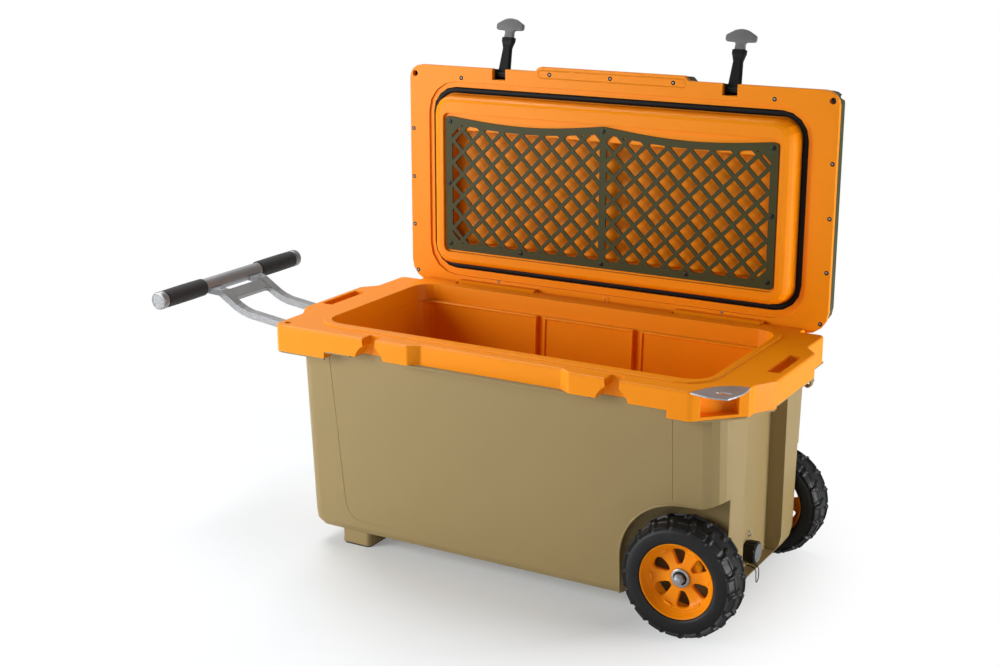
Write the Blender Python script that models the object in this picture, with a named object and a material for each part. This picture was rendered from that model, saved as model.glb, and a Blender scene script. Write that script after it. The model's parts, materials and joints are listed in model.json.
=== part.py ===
"""Wheeled cooler with a hinged lid, two rubber latches, a pull handle and two wheels.

Metres, +Z up. X runs along the tub towards the wheels, Y runs from the latches to the hinge.
The lid is modelled closed, in the frame of its hinge, and stands open at rest.
"""

import math

import bmesh
import bpy
from mathutils import Matrix, Vector

# Clearances
SEAT_GAP = 0.0003
RUNNING_GAP = 0.0003
OVERRUN = 0.004

# Facets
ARC_STEP = math.radians(22.5)
SMOOTH_ANGLE = math.radians(32)
ROUND_STEPS = 28
PIN_STEPS = 12
HUB_STEPS = 36

# Length, from the mouth of the tub outwards
OPENING_HALF_LENGTH = 0.377
LEFT_END_WALL = 0.031
RIGHT_END_WALL = 0.047
END_SHELF = 0.072
GRIP_REACH = 0.024
RIM_HALF_LENGTH = OPENING_HALF_LENGTH + END_SHELF
GRIP_HALF_LENGTH = RIM_HALF_LENGTH + GRIP_REACH

# Height, from the rim's top downwards
RIM_TOP_Z = 0.4291
RIM_DEPTH = 0.0361
RIM_UNDER_Z = RIM_TOP_Z - RIM_DEPTH
SKIRT_DEPTH = 0.0491
RIM_SKIRT_Z = RIM_TOP_Z - SKIRT_DEPTH
GRIP_DEPTH = 0.0431
RIM_GRIP_UNDER_Z = RIM_TOP_Z - GRIP_DEPTH
LEDGE_DEPTH = 0.0291
LEDGE_Z = RIM_TOP_Z - LEDGE_DEPTH

# Tub
TUB_LEFT_X = OPENING_HALF_LENGTH + LEFT_END_WALL
TUB_RIGHT_X = OPENING_HALF_LENGTH + RIGHT_END_WALL
TUB_FRONT_Y = 0.201
TUB_FOOT_Y = 0.178
TUB_BASE_Z = 0.029
TUB_TOP_Z = RIM_UNDER_Z - SEAT_GAP
TUB_WALL = 0.005
TUB_DECK = 0.007
TUB_LEFT_CORNER = 0.020
TUB_RIGHT_CORNER = 0.036
TUB_LEFT_HEEL = 0.025
TUB_RIGHT_HEEL = 0.050
TUB_SIDE_HEEL = 0.014
HEEL_SHARES = (0.0, 0.08, 0.29, 0.62, 1.0)
END_RECESS_DEPTH = 0.030
END_RECESS_X = TUB_RIGHT_X - END_RECESS_DEPTH
END_RECESS_HALF_WIDTH = 0.093
END_RECESS_BASE_Z = 0.050
END_RECESS_FILLET = 0.012

# Wheel wells
WELL_INNER_Y = 0.158
WELL_LENGTH = 0.1875
WELL_LEFT_X = TUB_RIGHT_X - WELL_LENGTH
WELL_TOP_Z = 0.220
WELL_FILLET = 0.118
WELL_FLAT = 0.034
WELL_FLAT_X = TUB_RIGHT_X - WELL_FLAT
WELL_LIP_RISE = 0.016

# Feet
FOOT_INSET = 0.058
FOOT_LEFT_X = TUB_LEFT_X - FOOT_INSET
FOOT_LENGTH = 0.062
FOOT_FRONT_Y = 0.167
FOOT_WIDTH = 0.070
FOOT_FILLET = 0.008
FOOT_PAD = 0.003
FOOT_PAD_INSET = 0.0015

# Liner basin and rim
OPENING_FRONT_Y = 0.172
OPENING_REAR_Y = 0.170
OPENING_CORNER = 0.040
OPENING_DRAFT = 0.002
LEDGE_WIDTH = 0.010
LINER_WALL = 0.004
LINER_FLOOR_Z = 0.060
LINER_DRAFT_X = 0.020
LINER_DRAFT_Y = 0.014
LINER_CORNER = 0.030
HUMP_LENGTH = 0.165
HUMP_LEFT_X = OPENING_HALF_LENGTH - HUMP_LENGTH
HUMP_TOP_Z = 0.246
HUMP_FILLET = 0.012
RIM_FRONT_Y = 0.228
RIM_MIDDLE_Y = 0.214
RIM_REAR_Y = 0.203
RIM_CORNER = 0.012
RIM_EDGE_ROUND = 0.004
RIM_FILLET = 0.006
BEAD_HEIGHT = 0.003
BEAD_MARGIN = 0.0105
BEAD_HALF_LENGTH = OPENING_HALF_LENGTH + BEAD_MARGIN
BEAD_CORNER = 0.056
BEAD_FRONT_Y = 0.193
BEAD_REAR_Y = 0.194
BEAD_CHAMFER = 0.002
BLOCK_INNER_X = 0.158
BLOCK_SLANT = 0.020
SKIRT_END = 0.113
SKIRT_INNER_X = RIM_HALF_LENGTH - SKIRT_END
CORNER_CUT = 0.073
CHAMFER_START_X = RIM_HALF_LENGTH - CORNER_CUT
CHAMFER_END_Y = 0.156

# Divider channels in the long walls
DIVIDER_X = 0.1025
DIVIDER_HALF_WIDTH = 0.0085
DIVIDER_DEPTH = 0.007

# End grips
GRIP_FRONT_Y = 0.097
GRIP_REAR_Y = 0.085
WAIST_FRONT_Y = 0.138
WAIST_REAR_Y = 0.114
GRIP_FILLET = 0.012
GRIP_SLOT_INSET = 0.011
GRIP_BAR = 0.012
GRIP_SLOT_INNER_X = RIM_HALF_LENGTH - GRIP_SLOT_INSET
GRIP_SLOT_OUTER_X = GRIP_HALF_LENGTH - GRIP_BAR
GRIP_SLOT_FRONT_Y = 0.060
GRIP_SLOT_REAR_Y = 0.052
GRIP_SLOT_FILLET = 0.004

# Padlock holes and opener plate
LOCK_HOLE_INSET = 0.019
LOCK_HOLE_X = RIM_HALF_LENGTH - LOCK_HOLE_INSET
LOCK_HOLE_Y = 0.206
LOCK_HOLE_RADIUS = 0.006
PLATE_THICKNESS = 0.0025
PLATE_TIP_INSET = 0.008
PLATE_TIP_X = RIM_HALF_LENGTH - PLATE_TIP_INSET
PLATE_TIP_Y = 0.231
PLATE_SIDE_BULGE = 0.006
PLATE_BACK_INSET = 0.053
PLATE_BACK_X = RIM_HALF_LENGTH - PLATE_BACK_INSET
PLATE_BACK_Y = 0.156
PLATE_SLOT_HALF = 0.013
PLATE_SLOT_RADIUS = 0.006
CATCH_HALF_WIDTH = 0.033
CATCH_DEPTH = 0.020
CATCH_WALL = 0.0035
CATCH_ROOF = 0.0061
CATCH_BASE_Z = RIM_GRIP_UNDER_Z
CATCH_TOP_Z = RIM_TOP_Z - CATCH_ROOF

# Keeper slots for the latches
LATCH_X = 0.2385
KEEPER_HALF_WIDTH = 0.0135
KEEPER_PINCH_HALF_WIDTH = 0.0118
KEEPER_PINCH_DEPTH = 0.0161
KEEPER_PINCH_Z = RIM_TOP_Z - KEEPER_PINCH_DEPTH
KEEPER_BACK_Y = 0.2015
ARCH_RADIUS = 0.030
ARCH_DEPTH = 0.0421
ARCH_Z = RIM_TOP_Z - ARCH_DEPTH

# Lid hinge
HINGE_Y = 0.218
HINGE_RISE = 0.0135
HINGE_Z = RIM_TOP_Z + SEAT_GAP - HINGE_RISE
HINGE_PIN_RADIUS = 0.004
TUB_BARREL_RADIUS = HINGE_RISE - RUNNING_GAP
TUB_BARREL_INNER_X = 0.148
OUTER_BARREL_INSET = 0.047
OUTER_BARREL_LENGTH = 0.077
BARREL_END_GAP = 0.003
TUB_BARREL_OUTER_X = RIM_HALF_LENGTH - OUTER_BARREL_INSET
HINGE_POCKET_OUTER_X = TUB_BARREL_OUTER_X - OUTER_BARREL_LENGTH
LID_BARREL_INNER_X = 0.150
LID_BARREL_OUTER_X = HINGE_POCKET_OUTER_X - BARREL_END_GAP
LID_BARREL_RADIUS = 0.017
HINGE_POCKET_Y = 0.192
HINGE_PIN_START_X = 0.108
LID_OPEN_ANGLE = math.radians(90)

# Lid
LID_PLANE_Z = RIM_TOP_Z + SEAT_GAP
LID_END_INSET = 0.007
LID_HALF_LENGTH = RIM_HALF_LENGTH - LID_END_INSET
LID_FRONT_Y = 0.224
LID_REAR_Y = 0.215
LID_CORNER = 0.027
LID_REAR_CORNER = 0.042
LID_FLANGE = 0.010
LIP_HALF_LENGTH = 0.150
LIP_REACH = 0.009
LIP_FILLET = 0.006
LATCH_SLOT_HALF_WIDTH = 0.0145
LATCH_SLOT_BACK_Y = 0.203
CHANNEL_GAP = 0.001
CHANNEL_MARGIN = 0.0105
CHANNEL_HALF_LENGTH = BEAD_HALF_LENGTH + CHANNEL_MARGIN
CHANNEL_CORNER = 0.061
CHANNEL_DEPTH = 0.0040
GASKET_WIDTH = 0.0115
GASKET_INSET = 0.0015
GASKET_THICKNESS = 0.0042
GASKET_SEAT = 0.0038
PLUG_GAP = 0.0015
PLUG_HALF_LENGTH = OPENING_HALF_LENGTH - PLUG_GAP
PLUG_FRONT_Y = 0.1705
PLUG_REAR_Y = 0.1680
PLUG_CORNER = 0.038
PLUG_DEPTH = 0.028
PLUG_ROUND_X = 0.019
PLUG_ROUND_Y = 0.012
PLUG_DEPTH_SHARES = (0.0, 0.5, 0.75, 0.92, 1.0)
PLUG_INSET_SHARES = (0.0, 0.10, 0.27, 0.58, 1.0)
LID_HEIGHT = 0.0609
LID_TOP_Z = RIM_TOP_Z + LID_HEIGHT
LID_SHELL_INSET = 0.001
LID_SHELL_WALL = 0.005
LID_SHELL_SLOPE = 0.005
LID_SHELL_ROUND = 0.012
DOME_SHARES = (0.4, 0.75, 1.0)
LATCH_BAY_BACK_Y = 0.199
LATCH_BAY_HEIGHT = 0.0429
LATCH_BAY_TOP_Z = RIM_TOP_Z + LATCH_BAY_HEIGHT

# Cargo panel in the lid
PANEL_END_INSET = 0.0305
PANEL_HALF_LENGTH = PLUG_HALF_LENGTH - PANEL_END_INSET
PANEL_FRONT_Y = 0.1295
PANEL_REAR_Y = 0.137
PANEL_DIP = 0.012
PANEL_POST_RISE = 0.0035
PANEL_CORNER = 0.008
PANEL_THICKNESS = 0.003
PANEL_DEPTH = 0.024
PANEL_RAIL = 0.015
PANEL_TOP_RAIL = 0.0135
PANEL_POST_HALF = 0.0072
PANEL_GUSSET = 0.020
LATTICE_HALF_PITCH = 0.0219
LATTICE_RIB = 0.0074
LATTICE_CENTRE_Y = 0.0045
POCKET_MARGIN = 0.004
POCKET_FRONT_Y = 0.137
POCKET_REAR_Y = 0.141
POCKET_CORNER = 0.012
STOWAGE_DEPTH = 0.021
STOWAGE_CORNER = 0.010

# Latches
LATCH_PIVOT_Y = 0.210
LATCH_PIVOT_RISE = 0.0204
LATCH_PIVOT_Z = RIM_TOP_Z + LATCH_PIVOT_RISE
LATCH_LEAN = math.radians(16)
LATCH_SWING = math.radians(90) + LATCH_LEAN
LATCH_PIN_RADIUS = 0.003
LATCH_PIN_SEAT = 0.004
LATCH_BAY_WALL = 0.006
STRAP_ROOT_HALF = 0.0128
STRAP_WAIST_HALF = 0.0090
STRAP_WAIST_AT = 0.0525
STRAP_COLLAR_HALF = 0.0132
STRAP_LENGTH = 0.0735
STRAP_THICKNESS = 0.0105
STRAP_COLLAR_THICKNESS = 0.0135
STRAP_ROOT_RADIUS = 0.0068
HEAD_NECK_HALF = 0.0078
HEAD_NECK_LENGTH = 0.0139
HEAD_HALF_WIDTH = 0.0295
HEAD_LENGTH = 0.0250
HEAD_THICKNESS = 0.0095
HEAD_OUTLINE_SHARES = (
    (0.46, 0.05), (0.80, 0.06), (1.0, 0.28), (0.98, 0.50), (0.78, 0.74), (0.42, 0.94), (0.16, 1.0),
)

# Wheels
WHEEL_INSET = 0.06005
WHEEL_X = TUB_RIGHT_X - WHEEL_INSET
WHEEL_Y = 0.203
TYRE_RADIUS = 0.10385
TYRE_HALF_WIDTH = 0.0345
TYRE_BEAD_RADIUS = 0.0665
TYRE_SHOULDER = 0.010
TYRE_WALL = 0.006
LUG_COUNT = 18
LUG_DEPTH = 0.005
LUG_SHARE = 0.64
HUB_BEAD_WIDTH = 0.0045
HUB_RIM_DEPTH = 0.030
HUB_DISH_Y = 0.016
HUB_WALL = 0.004
HUB_BOSS_RADIUS = 0.020
HUB_BOSS_INNER_Y = 0.0440
HUB_BOSS_OUTER_Y = 0.0105
HUB_WINDOW_INNER = 0.026
HUB_WINDOW_OUTER = 0.052
HUB_WINDOW_INNER_HALF = 0.0045
HUB_WINDOW_OUTER_HALF = 0.0155
HUB_WINDOWS = 6
HUB_WINDOW_PHASE = math.radians(37)
AXLE_RADIUS = 0.006
WASHER_RADIUS = 0.0165
WASHER_THICKNESS = 0.0025
NUT_RADIUS = 0.010
NUT_THICKNESS = 0.008
AXLE_END = 0.003

# Drain
DRAIN_Z = 0.0796
DRAIN_RADIUS = 0.0205
DRAIN_INNER_RADIUS = 0.0105
DRAIN_LENGTH = 0.023
DRAIN_RIBS = 12
DRAIN_RIB_DEPTH = 0.0012
DRAIN_FACE_RADIUS = 0.0165
DRAIN_FACE_THICKNESS = 0.003
SPOUT_FLANGE_RADIUS = 0.018
SPOUT_FLANGE = 0.0035
SPOUT_RADIUS = 0.0095
SPOUT_LENGTH = 0.012
TETHER_RADIUS = 0.0009
TETHER_ROUTE = (
    (0.0022, 0.0060, -0.0196), (0.0060, 0.0070, -0.0236), (0.0140, 0.0065, -0.0251),
    (0.0225, 0.0045, -0.0291), (0.0255, 0.0005, -0.0406), (0.0255, -0.0040, -0.0496),
    (0.0245, -0.0080, -0.0511), (0.0240, -0.0085, -0.0426), (0.0225, -0.0080, -0.0291),
    (0.0140, -0.0070, -0.0246), (0.0060, -0.0065, -0.0236), (0.0022, -0.0060, -0.0196),
)
TETHER_POINTS = 24

# Pull handle
PIVOT_REACH = 0.022
PIVOT_X = TUB_LEFT_X + PIVOT_REACH
PIVOT_DEPTH = 0.0691
PIVOT_Z = RIM_TOP_Z - PIVOT_DEPTH
HANDLE_PIN_RADIUS = 0.004
LEG_Y = 0.063
LEG_HALF_WIDTH = 0.0095
LEG_THICKNESS = 0.013
LEG_SLOPE = 0.129
LEG_EYE_RADIUS = 0.0095
LEG_LENGTH = 0.225
BEND_X = PIVOT_X + LEG_LENGTH
BEND_RISE = 0.004
RISE_LENGTH = 0.045
RISE_X = BEND_X + RISE_LENGTH
RISE_HEIGHT = 0.032475
RISE_Z = PIVOT_Z + LEG_LENGTH * LEG_SLOPE + RISE_HEIGHT
TUBE_REACH = 0.0324
TUBE_X = RISE_X + TUBE_REACH
TUBE_RISE = 0.0112
TUBE_Z = RISE_Z + TUBE_RISE
TUBE_RADIUS = 0.015
TUBE_HALF_LENGTH = 0.210
GRIP_RADIUS = 0.0175
CAP_LENGTH = 0.006
CAP_SLEEVE = 0.010
GRIP_OUTER_Y = TUBE_HALF_LENGTH - CAP_SLEEVE
SADDLE_SPREAD = 0.022
SADDLE_SHARES = (0.33, 0.5)
LEG_BEND_SHARES = (0.35, 0.15, 0.45)
SADDLE_LENGTH = 0.024
GRIP_CLEARANCE = 0.0035
GRIP_INNER_Y = LEG_Y + LEG_HALF_WIDTH + SADDLE_SPREAD * SADDLE_SHARES[1] + GRIP_CLEARANCE
CROSSBAR_LEAD = 0.023
CROSSBAR_START_X = BEND_X + CROSSBAR_LEAD
CROSSBAR_WIDTH = 0.025
CROSSBAR_THICKNESS = 0.010
CROSSBAR_FILLET = 0.010
BRACKET_LUG = 0.005
BRACKET_PLATE = 0.004
BRACKET_HALF_HEIGHT = 0.022
BRACKET_EYE_RADIUS = 0.011
BRACKET_MARGIN = 0.006

TAN = (0.36, 0.27, 0.13, 1.0)
ORANGE = (0.90, 0.24, 0.01, 1.0)
OLIVE = (0.075, 0.08, 0.045, 1.0)
BLACK = (0.014, 0.014, 0.015, 1.0)
DARK = (0.04, 0.04, 0.042, 1.0)
GREY = (0.16, 0.16, 0.165, 1.0)
METAL = (0.42, 0.42, 0.43, 1.0)
STEEL = (0.45, 0.46, 0.47, 1.0)


def clear_scene():
    """Remove every object and its data."""
    for item in list(bpy.data.objects):
        bpy.data.objects.remove(item, do_unlink=True)


def make_material(name, colour, roughness, metallic):
    """A Principled material."""
    material = bpy.data.materials.new(name)
    material.use_nodes = True
    shader = material.node_tree.nodes["Principled BSDF"]
    shader.inputs["Base Color"].default_value = colour
    shader.inputs["Roughness"].default_value = roughness
    shader.inputs["Metallic"].default_value = metallic
    material.diffuse_color = colour
    return material


def filleted(corners):
    """Outline whose corners (x, y, radius) are turned into arcs."""
    points = []
    for index, (x, y, radius) in enumerate(corners):
        here = Vector((x, y))
        if radius == 0:
            points.append((x, y))
            continue
        before = (Vector(corners[index - 1][:2]) - here).normalized()
        after = (Vector(corners[(index + 1) % len(corners)][:2]) - here).normalized()
        half = math.acos(max(-1.0, min(1.0, before.dot(after)))) / 2
        centre = here + (before + after).normalized() * (radius / math.sin(half))
        start = here + before * (radius / math.tan(half)) - centre
        sweep = math.pi - 2 * half
        sign = 1 if before.x * after.y - before.y * after.x < 0 else -1
        steps = max(2, math.ceil(sweep / ARC_STEP))
        for step in range(steps + 1):
            angle = sign * sweep * step / steps
            cosine, sine = math.cos(angle), math.sin(angle)
            points.append((
                centre.x + start.x * cosine - start.y * sine,
                centre.y + start.x * sine + start.y * cosine,
            ))
    return points


def rounded_rectangle(x0, x1, y0, y1, radius, right_radius=None):
    """Rectangle with round corners, anticlockwise."""
    right = radius if right_radius is None else right_radius
    return filleted([(x0, y0, radius), (x1, y0, right), (x1, y1, right), (x0, y1, radius)])


def inset(points, distance):
    """Outline moved inwards by a distance; the outline runs anticlockwise."""
    moved = []
    for index, point in enumerate(points):
        here = Vector(point)
        before = (here - Vector(points[index - 1])).normalized()
        after = (Vector(points[(index + 1) % len(points)]) - here).normalized()
        normal = Vector((-before.y - after.y, before.x + after.x)).normalized()
        spread = max(0.3, normal.dot(Vector((-before.y, before.x))))
        moved.append(tuple(here + normal * (distance / spread)))
    return moved


def inset_corners(corners, distance):
    """Corners (x, y, radius) of an anticlockwise outline moved inwards, with radii to match."""
    moved = []
    for index, (x, y, radius) in enumerate(corners):
        here = Vector((x, y))
        before = (here - Vector(corners[index - 1][:2])).normalized()
        after = (Vector(corners[(index + 1) % len(corners)][:2]) - here).normalized()
        normal = Vector((-before.y - after.y, before.x + after.x)).normalized()
        spread = normal.dot(Vector((-before.y, before.x)))
        place = here + normal * (distance / spread)
        turn = before.x * after.y - before.y * after.x
        fitted = radius - distance if turn > 0 else radius + distance
        moved.append((place.x, place.y, max(fitted, SEAT_GAP) if radius else 0))
    return moved


def flat(points, height):
    """Outline points at one height."""
    return [(x, y, height) for x, y in points]


def add_object(name, graph, material):
    """Turn a bmesh into an object."""
    bmesh.ops.recalc_face_normals(graph, faces=graph.faces)
    mesh = bpy.data.meshes.new(name)
    graph.to_mesh(mesh)
    graph.free()
    item = bpy.data.objects.new(name, mesh)
    bpy.context.scene.collection.objects.link(item)
    if material is not None:
        mesh.materials.append(material)
    return item


def loft(name, rings, material=None):
    """Closed solid through rings of equal count."""
    graph = bmesh.new()
    loops = [[graph.verts.new(point) for point in ring] for ring in rings]
    count = len(rings[0])
    for lower, upper in zip(loops, loops[1:]):
        for index in range(count):
            after = (index + 1) % count
            graph.faces.new((lower[index], lower[after], upper[after], upper[index]))
    graph.faces.new(list(reversed(loops[0])))
    graph.faces.new(loops[-1])
    return add_object(name, graph, material)


def prism(name, points, z0, z1, material=None):
    """Upright extrusion of an outline."""
    return loft(name, [flat(points, z0), flat(points, z1)], material)


def side_prism(name, points, y0, y1, material=None):
    """Extrusion along Y of an outline in X and Z."""
    return loft(name, [[(x, y0, z) for x, z in points], [(x, y1, z) for x, z in points]], material)


def end_prism(name, points, x0, x1, material=None):
    """Extrusion along X of an outline in Y and Z."""
    return loft(name, [[(x0, y, z) for y, z in points], [(x1, y, z) for y, z in points]], material)


def block(name, x0, x1, y0, y1, z0, z1, material=None):
    """Plain box."""
    return prism(name, [(x0, y0), (x1, y0), (x1, y1), (x0, y1)], z0, z1, material)


def circle(centre_x, centre_y, radius, steps):
    """Anticlockwise circle."""
    turn = math.tau / steps
    return [
        (centre_x + radius * math.cos(turn * step), centre_y + radius * math.sin(turn * step))
        for step in range(steps)
    ]


def turned(name, profile, steps, material=None, wobble=None):
    """Solid of revolution about Z from a closed profile of (radius, height)."""
    graph = bmesh.new()
    rings = []
    for step in range(steps):
        angle = math.tau * step / steps
        ring = []
        for index, (radius, height) in enumerate(profile):
            reach = radius if wobble is None else radius - wobble(step, index)
            ring.append(graph.verts.new((reach * math.cos(angle), reach * math.sin(angle), height)))
        rings.append(ring)
    count = len(profile)
    for step in range(steps):
        here, there = rings[step], rings[(step + 1) % steps]
        for index in range(count):
            after = (index + 1) % count
            graph.faces.new((here[index], there[index], there[after], here[after]))
    return add_object(name, graph, material)


def rod(name, radius, start, end, steps, material=None):
    """Round bar between two points."""
    start, end = Vector(start), Vector(end)
    outline = circle(0, 0, radius, steps)
    bar = loft(name, [flat(outline, 0), flat(outline, (end - start).length)], material)
    turn = (end - start).to_track_quat("Z", "Y").to_matrix().to_4x4()
    bar.data.transform(Matrix.Translation(start) @ turn)
    return bar


def combine(target, tools, operation):
    """Apply boolean operations and drop the tools."""
    for tool in tools:
        tool.hide_render = True
        tool.display_type = "WIRE"
        step = target.modifiers.new(tool.name, "BOOLEAN")
        step.operation = operation
        step.solver = "EXACT"
        step.object = tool
    graph = bpy.context.evaluated_depsgraph_get()
    shape = bpy.data.meshes.new_from_object(target.evaluated_get(graph))
    material = target.data.materials[0] if target.data.materials else None
    target.modifiers.clear()
    target.data = shape
    shape.materials.clear()
    if material is not None:
        shape.materials.append(material)
        shape.polygons.foreach_set("material_index", [0] * len(shape.polygons))
    for tool in tools:
        bpy.data.objects.remove(tool, do_unlink=True)
    return target


def cut(target, *tools):
    """Subtract tools."""
    return combine(target, tools, "DIFFERENCE")


def join(target, *tools):
    """Unite tools with the target."""
    return combine(target, tools, "UNION")


def mirrored(tool, axis):
    """Copy of a solid reflected across the plane square to an axis."""
    graph = bmesh.new()
    graph.from_mesh(tool.data)
    scale = [1, 1, 1]
    scale[axis] = -1
    bmesh.ops.scale(graph, vec=scale, verts=graph.verts)
    bmesh.ops.reverse_faces(graph, faces=graph.faces)
    material = tool.data.materials[0] if tool.data.materials else None
    return add_object(tool.name + "_mirror", graph, material)


def both(tool, axis):
    """A solid and its reflection."""
    return tool, mirrored(tool, axis)


def finish(item, parent, origin=(0, 0, 0)):
    """Put an object's origin on its parent's, smooth its round faces and parent it."""
    item.data.transform(Matrix.Translation(-Vector(origin)))
    item.data.shade_smooth()
    item.data.set_sharp_from_angle(angle=SMOOTH_ANGLE)
    item.parent = parent
    return item


def make_empty(name, location, parent):
    """Empty that carries an assembly."""
    empty = bpy.data.objects.new(name, None)
    empty.location = location
    empty.parent = parent
    bpy.context.scene.collection.objects.link(empty)
    return empty


def heel(share, radius):
    """Inset of a quarter round at a share of its height."""
    return radius * (1 - math.sqrt(max(0.0, 1 - (1 - share) ** 2)))


def tub_ring(height, left, right, side):
    """Tub outline at a height, drawn in at the left, the right and the sides."""
    climb = (height - TUB_BASE_Z) / (TUB_TOP_Z - TUB_BASE_Z)
    depth = TUB_FOOT_Y + (TUB_FRONT_Y - TUB_FOOT_Y) * climb - side
    outline = rounded_rectangle(
        left - TUB_LEFT_X, TUB_RIGHT_X - right, -depth, depth, TUB_LEFT_CORNER, TUB_RIGHT_CORNER,
    )
    return flat(outline, height)


def tub_form(margin):
    """Tub's outer form, or its hollow when drawn in by a margin."""
    rings = []
    for share in HEEL_SHARES:
        height = TUB_BASE_Z + margin + TUB_RIGHT_HEEL * share
        left = heel(min(1.0, share * TUB_RIGHT_HEEL / TUB_LEFT_HEEL), TUB_LEFT_HEEL)
        side = heel(min(1.0, share * TUB_RIGHT_HEEL / TUB_SIDE_HEEL), TUB_SIDE_HEEL)
        right = heel(share, TUB_RIGHT_HEEL)
        rings.append(tub_ring(height, left + margin, right + margin, side + margin))
    top = TUB_TOP_Z if margin == 0 else TUB_TOP_Z - TUB_DECK
    rings.append(tub_ring(top, margin, margin, margin))
    return loft("tub_form", rings)


def well_outline(margin):
    """Wheel well seen from the front, grown by a margin."""
    far = TUB_RIGHT_X + OVERRUN
    top = WELL_TOP_Z + margin
    return filleted([
        (WELL_LEFT_X - margin, 0, 0), (far, 0, 0), (far, top + WELL_LIP_RISE, 0), (WELL_FLAT_X, top, 0),
        (WELL_LEFT_X - margin, top, WELL_FILLET),
    ])


def wheel_wells(margin):
    """Both wheel wells, grown by a margin."""
    inner = WELL_INNER_Y - margin
    well = side_prism("well", well_outline(margin), -RIM_FRONT_Y - OVERRUN, -inner)
    return both(well, 1)


def end_recess(margin):
    """Upright recess in the wheel end, grown by a margin."""
    half = END_RECESS_HALF_WIDTH + margin
    outline = [
        (END_RECESS_X - margin, -half), (TUB_RIGHT_X + OVERRUN, -half),
        (TUB_RIGHT_X + OVERRUN, half), (END_RECESS_X - margin, half),
    ]
    return prism("end_recess", outline, END_RECESS_BASE_Z - margin, TUB_TOP_Z + OVERRUN)


def basin_ring(height, share, grow):
    """Basin outline below the ledge; the share runs from ledge to floor."""
    half = OPENING_HALF_LENGTH - OPENING_DRAFT - LINER_DRAFT_X * share + grow
    front = OPENING_FRONT_Y - OPENING_DRAFT - LEDGE_WIDTH - LINER_DRAFT_Y * share + grow
    rear = OPENING_REAR_Y - OPENING_DRAFT - LEDGE_WIDTH - LINER_DRAFT_Y * share + grow
    return flat(rounded_rectangle(-half, half, -front, rear, LINER_CORNER + grow), height)


def basin_form(grow, top):
    """Basin's lower form with the step over the axle, grown by a wall."""
    floor = LINER_FLOOR_Z - grow
    form = loft("basin", [basin_ring(floor, 1, grow), basin_ring(top, 0, grow)])
    step = block(
        "hump", HUMP_LEFT_X + grow, OPENING_HALF_LENGTH + OVERRUN, -OPENING_FRONT_Y, OPENING_FRONT_Y,
        floor - OVERRUN, HUMP_TOP_Z - grow,
    )
    return cut(form, step)


def divider_channels(grow, top):
    """Tapered channels in the long walls that a divider slides into, grown by a wall."""
    half = DIVIDER_HALF_WIDTH + grow
    base = LINER_FLOOR_Z + LINER_WALL - grow
    tools = []
    for reach, side in ((OPENING_REAR_Y, 1), (OPENING_FRONT_Y, -1)):
        rings = []
        for height, share in ((base, 1), (top, 0)):
            wall = reach - OPENING_DRAFT - LEDGE_WIDTH - LINER_DRAFT_Y * share
            near, far = sorted((side * (wall - DIVIDER_DEPTH), side * (wall + DIVIDER_DEPTH + grow)))
            rings.append(flat([
                (DIVIDER_X - half, near), (DIVIDER_X + half, near),
                (DIVIDER_X + half, far), (DIVIDER_X - half, far),
            ], height))
        tools += both(loft("divider", rings), 0)
    return tools


def make_tub_shell(tan, parent):
    """Outer shell: tapered body, wheel wells, end recess and feet."""
    shell = tub_form(0)
    shell.name = "tub_shell"
    shell.data.materials.append(tan)
    foot = prism("foot", rounded_rectangle(
        -FOOT_LEFT_X, FOOT_LENGTH - FOOT_LEFT_X, -FOOT_FRONT_Y, FOOT_WIDTH - FOOT_FRONT_Y, FOOT_FILLET,
    ), FOOT_PAD, TUB_BASE_Z + TUB_WALL / 2)
    join(shell, *both(foot, 1))
    cut(shell, *wheel_wells(0), end_recess(0))
    hollow = tub_form(TUB_WALL)
    cut(hollow, *wheel_wells(TUB_WALL), end_recess(TUB_WALL))
    neck = loft("neck", [
        basin_ring(TUB_TOP_Z - TUB_DECK - OVERRUN, 0, LINER_WALL + SEAT_GAP),
        basin_ring(TUB_TOP_Z + OVERRUN, 0, LINER_WALL + SEAT_GAP),
    ])
    join(hollow, neck)
    cut(shell, hollow)
    bore = rod("bore", AXLE_RADIUS + SEAT_GAP, (WHEEL_X, -WHEEL_Y, TYRE_RADIUS),
               (WHEEL_X, WHEEL_Y, TYRE_RADIUS), ROUND_STEPS)
    spout_bore = rod("spout_bore", SPOUT_RADIUS + SEAT_GAP, (END_RECESS_X - TUB_WALL - OVERRUN, 0, DRAIN_Z),
                     (END_RECESS_X + OVERRUN, 0, DRAIN_Z), ROUND_STEPS)
    notch = catch_form("notch", CATCH_WALL + SEAT_GAP, CATCH_DEPTH, CATCH_BASE_Z - CATCH_WALL - SEAT_GAP,
                       TUB_TOP_Z + OVERRUN)
    cut(shell, bore, spout_bore, notch, *divider_channels(LINER_WALL + SEAT_GAP, TUB_TOP_Z + OVERRUN))
    return finish(shell, parent)


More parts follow.
